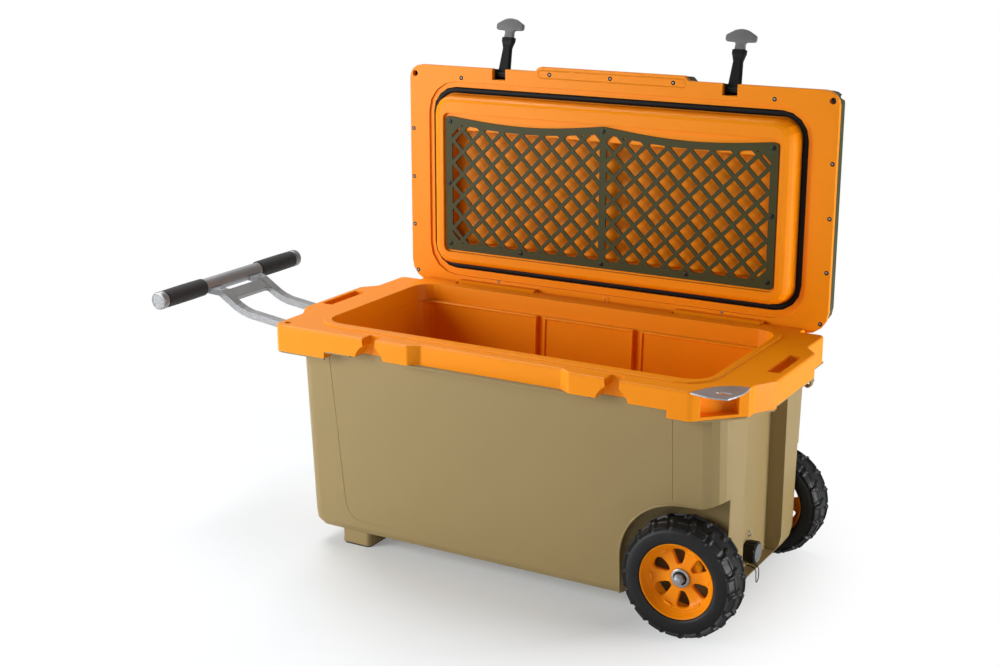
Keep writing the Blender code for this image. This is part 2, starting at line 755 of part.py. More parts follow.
def rim_corners():
    """Rim seen from above, anticlockwise from the middle of the latch side."""
    front, half, grip = -RIM_FRONT_Y, RIM_HALF_LENGTH, GRIP_HALF_LENGTH
    slant = BLOCK_INNER_X - BLOCK_SLANT
    side = [
        (half, -WAIST_FRONT_Y, GRIP_FILLET), (grip, -GRIP_FRONT_Y, GRIP_FILLET),
        (grip, GRIP_REAR_Y, GRIP_FILLET), (half, WAIST_REAR_Y, GRIP_FILLET), (half, RIM_REAR_Y, RIM_CORNER),
    ]
    right = [
        (slant, -RIM_MIDDLE_Y, RIM_FILLET), (BLOCK_INNER_X, front, RIM_FILLET),
        (CHAMFER_START_X, front, RIM_CORNER), (half + RUNNING_GAP, -CHAMFER_END_Y, RIM_FILLET),
    ] + side
    left = [(-x, y, radius) for x, y, radius in side][::-1] + [
        (-half, front + RIM_CORNER, RIM_FILLET), (-half + RIM_CORNER, front, RIM_FILLET),
        (-BLOCK_INNER_X, front, RIM_FILLET), (-slant, -RIM_MIDDLE_Y, RIM_FILLET),
    ]
    return right + left


def rim_plate(name, base, top):
    """Rim form with a rounded top edge."""
    corners = rim_corners()
    rounding = RIM_EDGE_ROUND
    rings = [flat(filleted(corners), base)]
    for step in range(4):
        angle = math.pi / 2 * step / 3
        outline = filleted(inset_corners(corners, rounding * (1 - math.cos(angle))))
        rings.append(flat(outline, top - rounding * (1 - math.sin(angle))))
    return loft(name, rings)


def keeper_tools():
    """Cutters for one pinched latch keeper and its arch."""
    top, pinch = KEEPER_HALF_WIDTH, KEEPER_PINCH_HALF_WIDTH
    over = RIM_TOP_Z + OVERRUN
    outline = [
        (LATCH_X - pinch, ARCH_Z), (LATCH_X + pinch, ARCH_Z), (LATCH_X + pinch, KEEPER_PINCH_Z),
        (LATCH_X + top, RIM_TOP_Z - RIM_FILLET), (LATCH_X + top, over), (LATCH_X - top, over),
        (LATCH_X - top, RIM_TOP_Z - RIM_FILLET), (LATCH_X - pinch, KEEPER_PINCH_Z),
    ]
    slot = side_prism("keeper", outline, -RIM_FRONT_Y - OVERRUN, -KEEPER_BACK_Y)
    arch = side_prism("arch", circle(LATCH_X, ARCH_Z, ARCH_RADIUS, ROUND_STEPS),
                      -RIM_FRONT_Y - OVERRUN, -KEEPER_BACK_Y - RUNNING_GAP)
    return both(slot, 0) + both(arch, 0)


def barrel(name, radius, x0, x1, front_y, base_z):
    """Hinge barrel with its web, a D-shaped bar along X."""
    steps = ROUND_STEPS // 2
    outline = [(front_y, base_z), (HINGE_Y, base_z)]
    for step in range(steps + 1):
        angle = -math.pi / 2 + math.pi * step / steps
        outline.append((HINGE_Y + radius * math.cos(angle), HINGE_Z + radius * math.sin(angle)))
    outline.append((front_y, HINGE_Z + radius))
    if base_z >= HINGE_Z - radius:
        outline.pop(1)
    return end_prism(name, outline, x0, x1)


def grip_slot(side):
    """Hand slot through one end grip."""
    inner, outer = sorted((side * GRIP_SLOT_INNER_X, side * GRIP_SLOT_OUTER_X))
    return prism("grip_slot", rounded_rectangle(
        inner, outer, -GRIP_SLOT_FRONT_Y, GRIP_SLOT_REAR_Y, GRIP_SLOT_FILLET,
    ), RIM_SKIRT_Z - OVERRUN, RIM_TOP_Z + OVERRUN)


def make_liner(orange, parent):
    """Liner: rim with grips, keepers and hinge blocks, and the basin below it."""
    liner = rim_plate("liner", RIM_SKIRT_Z, RIM_TOP_Z)
    liner.data.materials.append(orange)
    middle = block("middle", -SKIRT_INNER_X, SKIRT_INNER_X, -RIM_FRONT_Y - OVERRUN, RIM_REAR_Y + OVERRUN,
                   RIM_SKIRT_Z - OVERRUN, RIM_UNDER_Z)
    seat = loft("seat", [
        tub_ring(RIM_SKIRT_Z - OVERRUN, -SEAT_GAP, -SEAT_GAP, -SEAT_GAP),
        tub_ring(TUB_TOP_Z, -SEAT_GAP, -SEAT_GAP, -SEAT_GAP),
    ])
    seat.data.transform(Matrix.Translation((0, 0, RIM_UNDER_Z - TUB_TOP_Z)))
    under_grip = block("under_grip", END_RECESS_X, GRIP_HALF_LENGTH + OVERRUN, -GRIP_FRONT_Y, WAIST_REAR_Y,
                       RIM_SKIRT_Z - OVERRUN, RIM_GRIP_UNDER_Z)
    cut(liner, middle, seat, *both(under_grip, 0))
    base = CATCH_BASE_Z - CATCH_WALL
    join(liner, catch_form("catch_box", CATCH_WALL, -SEAT_GAP, base, RIM_UNDER_Z + OVERRUN))
    bead = rounded_rectangle(-BEAD_HALF_LENGTH, BEAD_HALF_LENGTH, -BEAD_FRONT_Y, BEAD_REAR_Y, BEAD_CORNER)
    bead_top = RIM_TOP_Z + BEAD_HEIGHT
    ring = loft("bead", [
        flat(bead, RIM_TOP_Z - BEAD_HEIGHT), flat(bead, bead_top - BEAD_CHAMFER),
        flat(inset(bead, BEAD_CHAMFER), bead_top),
    ])
    pocket = block("pocket", TUB_BARREL_INNER_X, HINGE_POCKET_OUTER_X, HINGE_POCKET_Y,
                   RIM_REAR_Y + OVERRUN, RIM_SKIRT_Z, RIM_TOP_Z + OVERRUN)
    cut(liner, *both(pocket, 0))
    web_y = OPENING_REAR_Y + LINER_WALL
    centre_barrel = barrel("centre", TUB_BARREL_RADIUS, -TUB_BARREL_INNER_X, TUB_BARREL_INNER_X,
                           web_y, RIM_UNDER_Z)
    outer_barrel = barrel("outer", TUB_BARREL_RADIUS, HINGE_POCKET_OUTER_X, TUB_BARREL_OUTER_X,
                          web_y, RIM_UNDER_Z)
    basin = basin_form(LINER_WALL, RIM_UNDER_Z + OVERRUN)
    join(basin, *divider_channels(LINER_WALL, RIM_UNDER_Z + OVERRUN))
    join(liner, ring, centre_barrel, *both(outer_barrel, 0))
    join(liner, basin)
    mouth = loft("mouth", [
        flat(rounded_rectangle(
            -OPENING_HALF_LENGTH + OPENING_DRAFT, OPENING_HALF_LENGTH - OPENING_DRAFT,
            -OPENING_FRONT_Y + OPENING_DRAFT, OPENING_REAR_Y - OPENING_DRAFT, OPENING_CORNER), LEDGE_Z),
        flat(rounded_rectangle(
            -OPENING_HALF_LENGTH, OPENING_HALF_LENGTH, -OPENING_FRONT_Y, OPENING_REAR_Y,
            OPENING_CORNER), bead_top + SEAT_GAP),
    ])
    hollow = basin_form(0, LEDGE_Z + OVERRUN)
    cut(liner, mouth)
    cut(liner, hollow)
    cut(liner, *divider_channels(0, LEDGE_Z + OVERRUN))
    cut(liner, *keeper_tools(), grip_slot(1), grip_slot(-1))
    pins = rod("pin_bore", HINGE_PIN_RADIUS + RUNNING_GAP, (HINGE_PIN_START_X, HINGE_Y, HINGE_Z),
               (TUB_BARREL_OUTER_X + OVERRUN, HINGE_Y, HINGE_Z), PIN_STEPS)
    lock = rod("lock", LOCK_HOLE_RADIUS, (-LOCK_HOLE_X, -LOCK_HOLE_Y, RIM_SKIRT_Z - OVERRUN),
               (-LOCK_HOLE_X, -LOCK_HOLE_Y, RIM_TOP_Z + OVERRUN), PIN_STEPS)
    cut(liner, *both(pins, 0), lock, catch_pocket(), plate_recess(), plate_slot(SEAT_GAP))
    return finish(liner, parent)


def chamfer_frame():
    """Middle, direction and outward normal of the rim's cut corner."""
    start = Vector((CHAMFER_START_X, -RIM_FRONT_Y))
    end = Vector((RIM_HALF_LENGTH, -CHAMFER_END_Y))
    along = (end - start).normalized()
    return (start + end) / 2, along, Vector((along.y, -along.x))


def catch_form(name, grow, reach, base, top):
    """Block behind the cut corner, grown by a margin, that reaches out from the corner's face."""
    middle, along, out = chamfer_frame()
    near = along * (CATCH_HALF_WIDTH + grow)
    back = out * (CATCH_DEPTH + grow)
    points = [
        middle - near - back, middle - near + out * reach,
        middle + near + out * reach, middle + near - back,
    ]
    return prism(name, [tuple(point) for point in points], base, top)


def catch_pocket():
    """Pocket in the cut corner that catches bottle caps."""
    return catch_form("catch", 0, CATCH_DEPTH, CATCH_BASE_Z, CATCH_TOP_Z)


def plate_outline(grow):
    """Leaf-shaped opener plate seen from above, grown by a margin."""
    start = Vector((CHAMFER_START_X, -RIM_FRONT_Y))
    end = Vector((RIM_HALF_LENGTH, -CHAMFER_END_Y))
    tip = Vector((PLATE_TIP_X, -PLATE_TIP_Y))
    back = Vector((PLATE_BACK_X, -PLATE_BACK_Y))
    points = []
    for first, last, bulge in ((start, tip, PLATE_SIDE_BULGE), (tip, end, PLATE_SIDE_BULGE)):
        normal = Vector((last.y - first.y, first.x - last.x)).normalized()
        for step in range(4):
            share = step / 4
            points.append(first.lerp(last, share) + normal * bulge * math.sin(math.pi * share))
    for step in range(8):
        share = step / 8
        bend = end.lerp(back, share).lerp(back.lerp(start, share), share)
        points.append(bend)
    outline = [tuple(point) for point in points]
    return inset(outline, -grow) if grow else outline


def plate_recess():
    """Shallow seat that lets the opener plate in flush."""
    base = RIM_TOP_Z - PLATE_THICKNESS - SEAT_GAP
    return prism("recess", plate_outline(SEAT_GAP), base, RIM_TOP_Z + OVERRUN)


def plate_slot(grow):
    """Long hole for a padlock or a bottle neck, grown by a margin."""
    far, radius = PLATE_SLOT_HALF + grow, PLATE_SLOT_RADIUS + grow
    middle = LOCK_HOLE_X - PLATE_SLOT_RADIUS
    return prism("slot", rounded_rectangle(
        middle - far, middle + far, -LOCK_HOLE_Y - radius, -LOCK_HOLE_Y + radius, radius,
    ), CATCH_TOP_Z - OVERRUN, RIM_TOP_Z + OVERRUN)


def make_opener_plate(steel, parent):
    """Steel padlock plate whose slot also opens bottles."""
    plate = prism("opener_plate", plate_outline(0), RIM_TOP_Z - PLATE_THICKNESS, RIM_TOP_Z, steel)
    cut(plate, plate_slot(0))
    return finish(plate, parent)


def make_foot_pads(rubber, parent):
    """Rubber pads under the feet."""
    pad = prism("foot_pad_front", rounded_rectangle(
        -FOOT_LEFT_X + FOOT_PAD_INSET, FOOT_LENGTH - FOOT_LEFT_X - FOOT_PAD_INSET,
        -FOOT_FRONT_Y + FOOT_PAD_INSET, FOOT_WIDTH - FOOT_FRONT_Y - FOOT_PAD_INSET, FOOT_FILLET,
    ), 0, FOOT_PAD - SEAT_GAP, rubber)
    rear = mirrored(pad, 1)
    rear.name = "foot_pad_rear"
    finish(pad, parent)
    finish(rear, parent)


def lid_corners():
    """Lid flange seen from above, with its finger lip."""
    half, front, rear = LID_HALF_LENGTH, -LID_FRONT_Y, LID_REAR_Y
    lip, far = LIP_HALF_LENGTH, -LID_FRONT_Y - LIP_REACH
    return [
        (-half, front, LID_CORNER), (-lip - LIP_REACH, front, LIP_FILLET), (-lip, far, LIP_FILLET),
        (lip, far, LIP_FILLET), (lip + LIP_REACH, front, LIP_FILLET), (half, front, LID_CORNER),
        (half, rear, LID_REAR_CORNER), (-half, rear, LID_REAR_CORNER),
    ]


def plug_outline(inset_x, inset_y):
    """Plug seen from above, drawn in at its ends and sides."""
    half = PLUG_HALF_LENGTH - inset_x
    return rounded_rectangle(-half, half, -PLUG_FRONT_Y + inset_y, PLUG_REAR_Y - inset_y,
                             PLUG_CORNER - inset_y)


def ring_tool(outer, inner, z0, z1):
    """Ring-shaped prism between two outlines."""
    ring = prism("ring", outer, z0, z1)
    return cut(ring, prism("ring_inner", inner, z0 - OVERRUN, z1 + OVERRUN))


def gasket_ring(grow, z0, z1):
    """Gasket's ring around the plug, grown by a margin."""
    inner = plug_outline(-GASKET_INSET + grow, -GASKET_INSET + grow)
    outer = plug_outline(-GASKET_INSET - GASKET_WIDTH - grow, -GASKET_INSET - GASKET_WIDTH - grow)
    return ring_tool(outer, inner, z0, z1)


def gasket_base():
    """Height of the gasket's face above the closed rim bead."""
    return RIM_TOP_Z + BEAD_HEIGHT + SEAT_GAP


def latch_bay(grow, base):
    """Bay in the lid's edge that a latch swings in, grown by a wall."""
    half = LATCH_SLOT_HALF_WIDTH + grow
    return block("bay", LATCH_X - half, LATCH_X + half, -LID_FRONT_Y - OVERRUN, -LATCH_BAY_BACK_Y + grow,
                 base, LATCH_BAY_TOP_Z + grow)


def make_lid_inner(orange, parent, origin):
    """Lid's inner moulding: flange, seal channel, plug, cargo pocket and hinge barrels."""
    top = LID_PLANE_Z + LID_FLANGE
    lid = prism("lid_inner", filleted(lid_corners()), LID_PLANE_Z, top, orange)
    channel_top = LID_PLANE_Z + CHANNEL_DEPTH
    channel = prism("channel", rounded_rectangle(
        -CHANNEL_HALF_LENGTH, CHANNEL_HALF_LENGTH,
        -BEAD_FRONT_Y - CHANNEL_GAP, BEAD_REAR_Y + CHANNEL_GAP, CHANNEL_CORNER,
    ), LID_PLANE_Z - OVERRUN, channel_top)
    slot = block("slot", LATCH_X - LATCH_SLOT_HALF_WIDTH, LATCH_X + LATCH_SLOT_HALF_WIDTH,
                 -LID_FRONT_Y - LIP_REACH, -LATCH_SLOT_BACK_Y, LID_PLANE_Z - OVERRUN, top + OVERRUN)
    cut(lid, channel, *both(slot, 0))
    rings = []
    for depth, share in zip(PLUG_DEPTH_SHARES, PLUG_INSET_SHARES):
        outline = plug_outline(PLUG_ROUND_X * share, PLUG_ROUND_Y * share)
        rings.append(flat(outline, channel_top - (channel_top - LID_PLANE_Z + PLUG_DEPTH) * depth))
    rings.insert(0, flat(plug_outline(0, 0), channel_top + LID_FLANGE / 4))
    plug = loft("plug", rings)
    bar = barrel("lid_barrel", LID_BARREL_RADIUS, LID_BARREL_INNER_X, LID_BARREL_OUTER_X,
                 HINGE_Y - LID_BARREL_RADIUS, HINGE_Z)
    join(lid, plug, *both(bar, 0))
    face = LID_PLANE_Z - PLUG_DEPTH
    ledge = LID_PLANE_Z - PANEL_DEPTH + PANEL_THICKNESS + SEAT_GAP
    half = PANEL_HALF_LENGTH + POCKET_MARGIN
    pocket = prism("pocket", rounded_rectangle(-half, half, -POCKET_FRONT_Y, POCKET_REAR_Y, POCKET_CORNER),
                   face - OVERRUN, ledge)
    half = PANEL_HALF_LENGTH - PANEL_RAIL
    stowage = prism("stowage", rounded_rectangle(
        -half, half, -PANEL_FRONT_Y + PANEL_DIP + PANEL_TOP_RAIL, PANEL_REAR_Y - PANEL_RAIL, STOWAGE_CORNER,
    ), face - OVERRUN, ledge + STOWAGE_DEPTH)
    cut(lid, pocket, stowage)
    base = gasket_base()
    groove = gasket_ring(SEAT_GAP, base - CHANNEL_DEPTH, base + GASKET_THICKNESS + SEAT_GAP)
    hole = rod("hole", LOCK_HOLE_RADIUS, (LOCK_HOLE_X, -LOCK_HOLE_Y, LID_PLANE_Z - OVERRUN),
               (LOCK_HOLE_X, -LOCK_HOLE_Y, top + OVERRUN), PIN_STEPS)
    bore = rod("bore", HINGE_PIN_RADIUS + RUNNING_GAP, (LID_BARREL_INNER_X - OVERRUN, HINGE_Y, HINGE_Z),
               (LID_BARREL_OUTER_X + OVERRUN, HINGE_Y, HINGE_Z), PIN_STEPS)
    cut(lid, groove, *both(hole, 0), *both(bore, 0))
    return finish(lid, parent, origin)


def make_gasket(rubber, parent, origin):
    """Rubber seal around the plug."""
    base = gasket_base()
    gasket = gasket_ring(0, base, base + GASKET_THICKNESS)
    gasket.name = "lid_gasket"
    gasket.data.materials.append(rubber)
    return finish(gasket, parent, origin)


def lid_dome(name, margin, base, material=None):
    """Lid's outer form, or its hollow when drawn in by a margin."""
    corners = lid_corners()
    top = LID_TOP_Z - margin
    side_top = top - LID_SHELL_ROUND
    start = LID_SHELL_INSET + margin
    rings = [
        flat(filleted(inset_corners(corners, start)), base),
        flat(filleted(inset_corners(corners, start + LID_SHELL_SLOPE)), side_top),
    ]
    for share in DOME_SHARES:
        angle = math.pi / 2 * share
        drawn = start + LID_SHELL_SLOPE + LID_SHELL_ROUND * (1 - math.cos(angle))
        outline = filleted(inset_corners(corners, drawn))
        rings.append(flat(outline, side_top + LID_SHELL_ROUND * math.sin(angle)))
    return loft(name, rings, material)


def make_lid_outer(olive, parent, origin):
    """Lid's outer shell with its latch bays."""
    base = LID_PLANE_Z + LID_FLANGE + SEAT_GAP
    shell = lid_dome("lid_outer", 0, base, olive)
    hollow = lid_dome("hollow", LID_SHELL_WALL, base - OVERRUN)
    lock = rod("lock", LOCK_HOLE_RADIUS, (LOCK_HOLE_X, -LOCK_HOLE_Y, base - OVERRUN),
               (LOCK_HOLE_X, -LOCK_HOLE_Y, LID_TOP_Z + OVERRUN), PIN_STEPS)
    post = rod("post", LOCK_HOLE_RADIUS + LID_SHELL_WALL, (LOCK_HOLE_X, -LOCK_HOLE_Y, base - 2 * OVERRUN),
               (LOCK_HOLE_X, -LOCK_HOLE_Y, LID_TOP_Z + OVERRUN), PIN_STEPS)
    cut(hollow, *both(latch_bay(LATCH_BAY_WALL, base - 2 * OVERRUN), 0), *both(post, 0))
    cut(shell, hollow)
    reach = LATCH_SLOT_HALF_WIDTH + LATCH_PIN_SEAT + RUNNING_GAP
    pin = rod("pin", LATCH_PIN_RADIUS + SEAT_GAP, (LATCH_X - reach, -LATCH_PIVOT_Y, LATCH_PIVOT_Z),
              (LATCH_X + reach, -LATCH_PIVOT_Y, LATCH_PIVOT_Z), PIN_STEPS)
    cut(shell, *both(latch_bay(0, base - OVERRUN), 0), *both(lock, 0))
    cut(shell, *both(pin, 0))
    return finish(shell, parent, origin)


def scallop(x):
    """Front edge of the cargo panel at a distance from its middle post."""
    reach = PANEL_HALF_LENGTH - PANEL_RAIL
    share = min(1.0, abs(x) / reach)
    return -PANEL_FRONT_Y - PANEL_POST_RISE * (1 - share) + PANEL_DIP * math.sin(math.pi * share)


def panel_window(side):
    """Opening on one side of the post that the lattice fills."""
    inner, outer = PANEL_POST_HALF, PANEL_HALF_LENGTH - PANEL_RAIL
    rear = PANEL_REAR_Y - PANEL_RAIL
    points = []
    steps = 10
    for step in range(steps + 1):
        x = inner + (outer - PANEL_GUSSET - inner) * step / steps
        points.append((x, scallop(x) + PANEL_TOP_RAIL))
    corner = points[-1][1]
    points += [
        (outer, corner + PANEL_GUSSET), (outer, rear - PANEL_GUSSET), (outer - PANEL_GUSSET, rear),
        (inner, rear),
    ]
    if side < 0:
        points = [(-x, y) for x, y in reversed(points)]
    return points


def diamond_grid(z0, z1):
    """Diamond prisms on a staggered grid."""
    graph = bmesh.new()
    reach = LATTICE_HALF_PITCH - LATTICE_RIB / math.sqrt(2)
    columns = math.ceil(PANEL_HALF_LENGTH / LATTICE_HALF_PITCH)
    rows = math.ceil(PANEL_REAR_Y / LATTICE_HALF_PITCH)
    for i in range(-columns, columns + 1):
        for j in range(-rows, rows + 1):
            x = i * LATTICE_HALF_PITCH
            y = LATTICE_CENTRE_Y + j * LATTICE_HALF_PITCH
            if (i + j) % 2 or abs(x) > PANEL_HALF_LENGTH or y < scallop(x):
                continue
            corners = [(x - reach, y), (x, y - reach), (x + reach, y), (x, y + reach)]
            low = [graph.verts.new((a, b, z0)) for a, b in corners]
            high = [graph.verts.new((a, b, z1)) for a, b in corners]
            graph.faces.new(list(reversed(low)))
            graph.faces.new(high)
            for index in range(4):
                after = (index + 1) % 4
                graph.faces.new((low[index], low[after], high[after], high[index]))
    return add_object("diamonds", graph, None)


def make_cargo_panel(olive, parent, origin):
    """Lattice panel over the lid's pocket, with a scalloped edge and a middle post."""
    base = LID_PLANE_Z - PANEL_DEPTH
    top = base + PANEL_THICKNESS
    reach = PANEL_HALF_LENGTH - PANEL_RAIL
    steps = 10
    edge = [(reach * step / steps, scallop(reach * step / steps), 0) for step in range(-steps, steps + 1)]
    half = PANEL_HALF_LENGTH
    outline = filleted(
        [(-half, -PANEL_FRONT_Y, PANEL_CORNER)] + edge + [(half, -PANEL_FRONT_Y, PANEL_CORNER),
         (half, PANEL_REAR_Y, PANEL_CORNER), (-half, PANEL_REAR_Y, PANEL_CORNER)])
    panel = prism("cargo_panel", outline, base, top, olive)
    holes = diamond_grid(base - OVERRUN, top + OVERRUN)
    windows = prism("windows", panel_window(1), base - 2 * OVERRUN, top + 2 * OVERRUN)
    join(windows, prism("windows_left", panel_window(-1), base - 2 * OVERRUN, top + 2 * OVERRUN))
    combine(holes, [windows], "INTERSECT")
    cut(panel, holes)
    return finish(panel, parent, origin)


def strap_ring(along, half, thickness):
    """Strap's cross-section at a distance from the pivot."""
    deep = thickness / 2
    return flat(rounded_rectangle(-half, half, -deep, deep, deep * 0.6), -along)


def make_latch(name, rubber, plastic, parent):
    """Rubber strap and T head that hang from the pivot."""
    waist, length = STRAP_WAIST_AT, STRAP_LENGTH
    flare = (length - waist) / 3
    strap = loft(name + "_strap", [
        strap_ring(length, STRAP_COLLAR_HALF, STRAP_COLLAR_THICKNESS),
        strap_ring(length - flare, STRAP_COLLAR_HALF, STRAP_COLLAR_THICKNESS),
        strap_ring(length - 2 * flare, (STRAP_WAIST_HALF + STRAP_COLLAR_HALF) / 2, STRAP_THICKNESS),
        strap_ring(waist, STRAP_WAIST_HALF, STRAP_THICKNESS),
        strap_ring(0, STRAP_ROOT_HALF, STRAP_THICKNESS),
    ], rubber)
    root = rod("root", STRAP_ROOT_RADIUS, (-STRAP_ROOT_HALF, 0, 0), (STRAP_ROOT_HALF, 0, 0), ROUND_STEPS)
    join(strap, root)
    cut(strap, rod("bore", LATCH_PIN_RADIUS + RUNNING_GAP, (-STRAP_ROOT_HALF - OVERRUN, 0, 0),
                   (STRAP_ROOT_HALF + OVERRUN, 0, 0), PIN_STEPS))
    finish(strap, parent)
    start = -length - SEAT_GAP
    neck_end = start - HEAD_NECK_LENGTH
    right = [(HEAD_HALF_WIDTH * x, neck_end - HEAD_LENGTH * z) for x, z in HEAD_OUTLINE_SHARES]
    outline = [(HEAD_NECK_HALF, start), (HEAD_NECK_HALF, neck_end + HEAD_LENGTH * 0.12)] + right
    outline += [(-x, z) for x, z in reversed(outline)]
    head = side_prism(name + "_head", outline, -HEAD_THICKNESS / 2, HEAD_THICKNESS / 2, plastic)
    finish(head, parent)


def make_tyre(name, rubber, parent, side):
    """Knobbly tyre."""
    radius, half = TYRE_RADIUS, TYRE_HALF_WIDTH
    bead, wall = TYRE_BEAD_RADIUS, TYRE_WALL
    profile = [
        (bead, -half + wall), (radius - 2 * TYRE_SHOULDER, -half),
        (radius - TYRE_SHOULDER, -half + wall / 2), (radius - wall / 4, -half + TYRE_SHOULDER),
        (radius, -half + 2 * TYRE_SHOULDER), (radius, half - 2 * TYRE_SHOULDER),
        (radius - wall / 4, half - TYRE_SHOULDER), (radius - TYRE_SHOULDER, half - wall / 2),
        (radius - 2 * TYRE_SHOULDER, half), (bead, half - wall),
    ]
    steps = LUG_COUNT * 4

    def groove(step, index):
        if index not in (2, 3, 4, 5, 6, 7):
            return 0.0
        shifted = step if index < 5 else step + 2
        return LUG_DEPTH if shifted % 4 >= 4 * LUG_SHARE - 1 else 0.0

    tyre = turned(name, profile, steps, rubber, groove)
    tyre.data.transform(Matrix.Rotation(math.radians(90) * side, 4, "X"))
    return finish(tyre, parent)


def hub_window(index):
    """One tapered window of the hub."""
    inner, outer = HUB_WINDOW_INNER, HUB_WINDOW_OUTER
    small, large = HUB_WINDOW_INNER_HALF, HUB_WINDOW_OUTER_HALF
    outline = [(inner, -small), (outer, -large), (outer, large), (inner, small)]
    window = prism("window", outline, -HUB_RIM_DEPTH, HUB_RIM_DEPTH)
    angle = HUB_WINDOW_PHASE + math.tau * index / HUB_WINDOWS
    window.data.transform(Matrix.Rotation(angle, 4, "Z"))
    return window


def make_hub(name, orange, parent, side):
    """Dished hub with windows and an axle boss."""
    bead = TYRE_BEAD_RADIUS - SEAT_GAP
    bore = AXLE_RADIUS + RUNNING_GAP
    lip = TYRE_HALF_WIDTH - HUB_BEAD_WIDTH
    face = HUB_BOSS_OUTER_Y
    rear = face - HUB_WALL - HUB_WALL
    profile = [
        (bore, face), (HUB_BOSS_RADIUS, face), (HUB_WINDOW_INNER, face - HUB_WALL / 2),
        (HUB_WINDOW_OUTER, face - HUB_WALL), (HUB_WINDOW_OUTER + HUB_WALL, face),
        (bead - HUB_WALL - HUB_WALL / 2, lip - HUB_WALL / 2), (bead - HUB_WALL / 2, lip + HUB_WALL / 4),
        (bead, lip - HUB_WALL / 2), (bead, -HUB_RIM_DEPTH + HUB_WALL),
        (bead - HUB_WALL, -HUB_RIM_DEPTH + HUB_WALL),
        (bead - HUB_WALL, rear), (HUB_WINDOW_OUTER, rear), (HUB_WINDOW_INNER, rear + HUB_WALL / 2),
        (HUB_BOSS_RADIUS - HUB_WALL, rear), (HUB_BOSS_RADIUS - HUB_WALL, -HUB_BOSS_INNER_Y),
        (bore, -HUB_BOSS_INNER_Y),
    ]
    hub = turned(name, profile, HUB_STEPS, orange)
    cut(hub, *[hub_window(index) for index in range(HUB_WINDOWS)])
    hub.data.transform(Matrix.Rotation(math.radians(90) * side, 4, "X"))
    return finish(hub, parent)


def make_axle(steel, parent):
    """Axle rod with a washer and a nut at each end."""
    face = WHEEL_Y + HUB_BOSS_OUTER_Y + RUNNING_GAP
    nut_start = face + WASHER_THICKNESS + SEAT_GAP
    end = nut_start + NUT_THICKNESS + AXLE_END
    centre = (WHEEL_X, TYRE_RADIUS)
    ends = (centre[0], -end, centre[1]), (centre[0], end, centre[1])
    axle = rod("axle", AXLE_RADIUS, *ends, ROUND_STEPS, steel)
    finish(axle, parent)
    hole = AXLE_RADIUS + SEAT_GAP
    for side, place in ((-1, "front"), (1, "rear")):
        for name, radius, start, depth, steps in (
            ("washer_", WASHER_RADIUS, face, WASHER_THICKNESS, ROUND_STEPS),
            ("nut_", NUT_RADIUS, nut_start, NUT_THICKNESS, 6),
        ):
            a, b = (centre[0], side * start, centre[1]), (centre[0], side * (start + depth), centre[1])
            piece = rod(name + place, radius, a, b, steps, steel)
            a = (centre[0], side * (start - OVERRUN), centre[1])
            b = (centre[0], side * (start + depth + OVERRUN), centre[1])
            cut(piece, rod("hole", hole, a, b, ROUND_STEPS))
            finish(piece, parent)


def leg_height(x):
    """Height of a leg's centre line on its straight part."""
    return PIVOT_Z + (x - PIVOT_X) * LEG_SLOPE


def leg_section(centre, direction, y, half_width, thickness=LEG_THICKNESS):
    """Rectangle square to a leg's path, which runs in X and Z."""
    along = Vector(direction).normalized()
    up = Vector((along.y, -along.x)) * (thickness / 2)
    low, high = Vector(centre) - up, Vector(centre) + up
    return [
        (-low.x, y - half_width, low.y), (-low.x, y + half_width, low.y),
        (-high.x, y + half_width, high.y), (-high.x, y - half_width, high.y),
    ]


def make_leg(y):
    """One leg from its pivot eye to its saddle on the tube."""
    bend = Vector((BEND_X, leg_height(BEND_X) + BEND_RISE))
    rise = Vector((RISE_X, RISE_Z))
    tube = Vector((TUBE_X, TUBE_Z))
    lead = (rise - bend).normalized()
    straight = Vector((1, LEG_SLOPE)).normalized()
    start = Vector((PIVOT_X, PIVOT_Z))
    before = Vector((BEND_X, leg_height(BEND_X))) - straight * SADDLE_LENGTH
    stations = [
        (start, straight, LEG_HALF_WIDTH), (before, straight, LEG_HALF_WIDTH),
        (bend.lerp(before, LEG_BEND_SHARES[0]), straight * 2 + lead, LEG_HALF_WIDTH),
        (bend.lerp(rise, LEG_BEND_SHARES[1]), straight + lead * 2, LEG_HALF_WIDTH),
        (bend.lerp(rise, LEG_BEND_SHARES[2]), lead, LEG_HALF_WIDTH), (rise, lead, LEG_HALF_WIDTH),
        (tube - lead * TUBE_RADIUS, lead, LEG_HALF_WIDTH + SADDLE_SPREAD * SADDLE_SHARES[0]),
        (tube - lead * (TUBE_RADIUS / 2), lead, LEG_HALF_WIDTH + SADDLE_SPREAD * SADDLE_SHARES[1]),
    ]
    leg = loft("leg", [leg_section(centre, way, y, half) for centre, way, half in stations])
    half = LEG_HALF_WIDTH - SEAT_GAP
    ends = (-PIVOT_X, y - half, PIVOT_Z), (-PIVOT_X, y + half, PIVOT_Z)
    eye = rod("eye", LEG_EYE_RADIUS, *ends, ROUND_STEPS)
    return join(leg, eye)


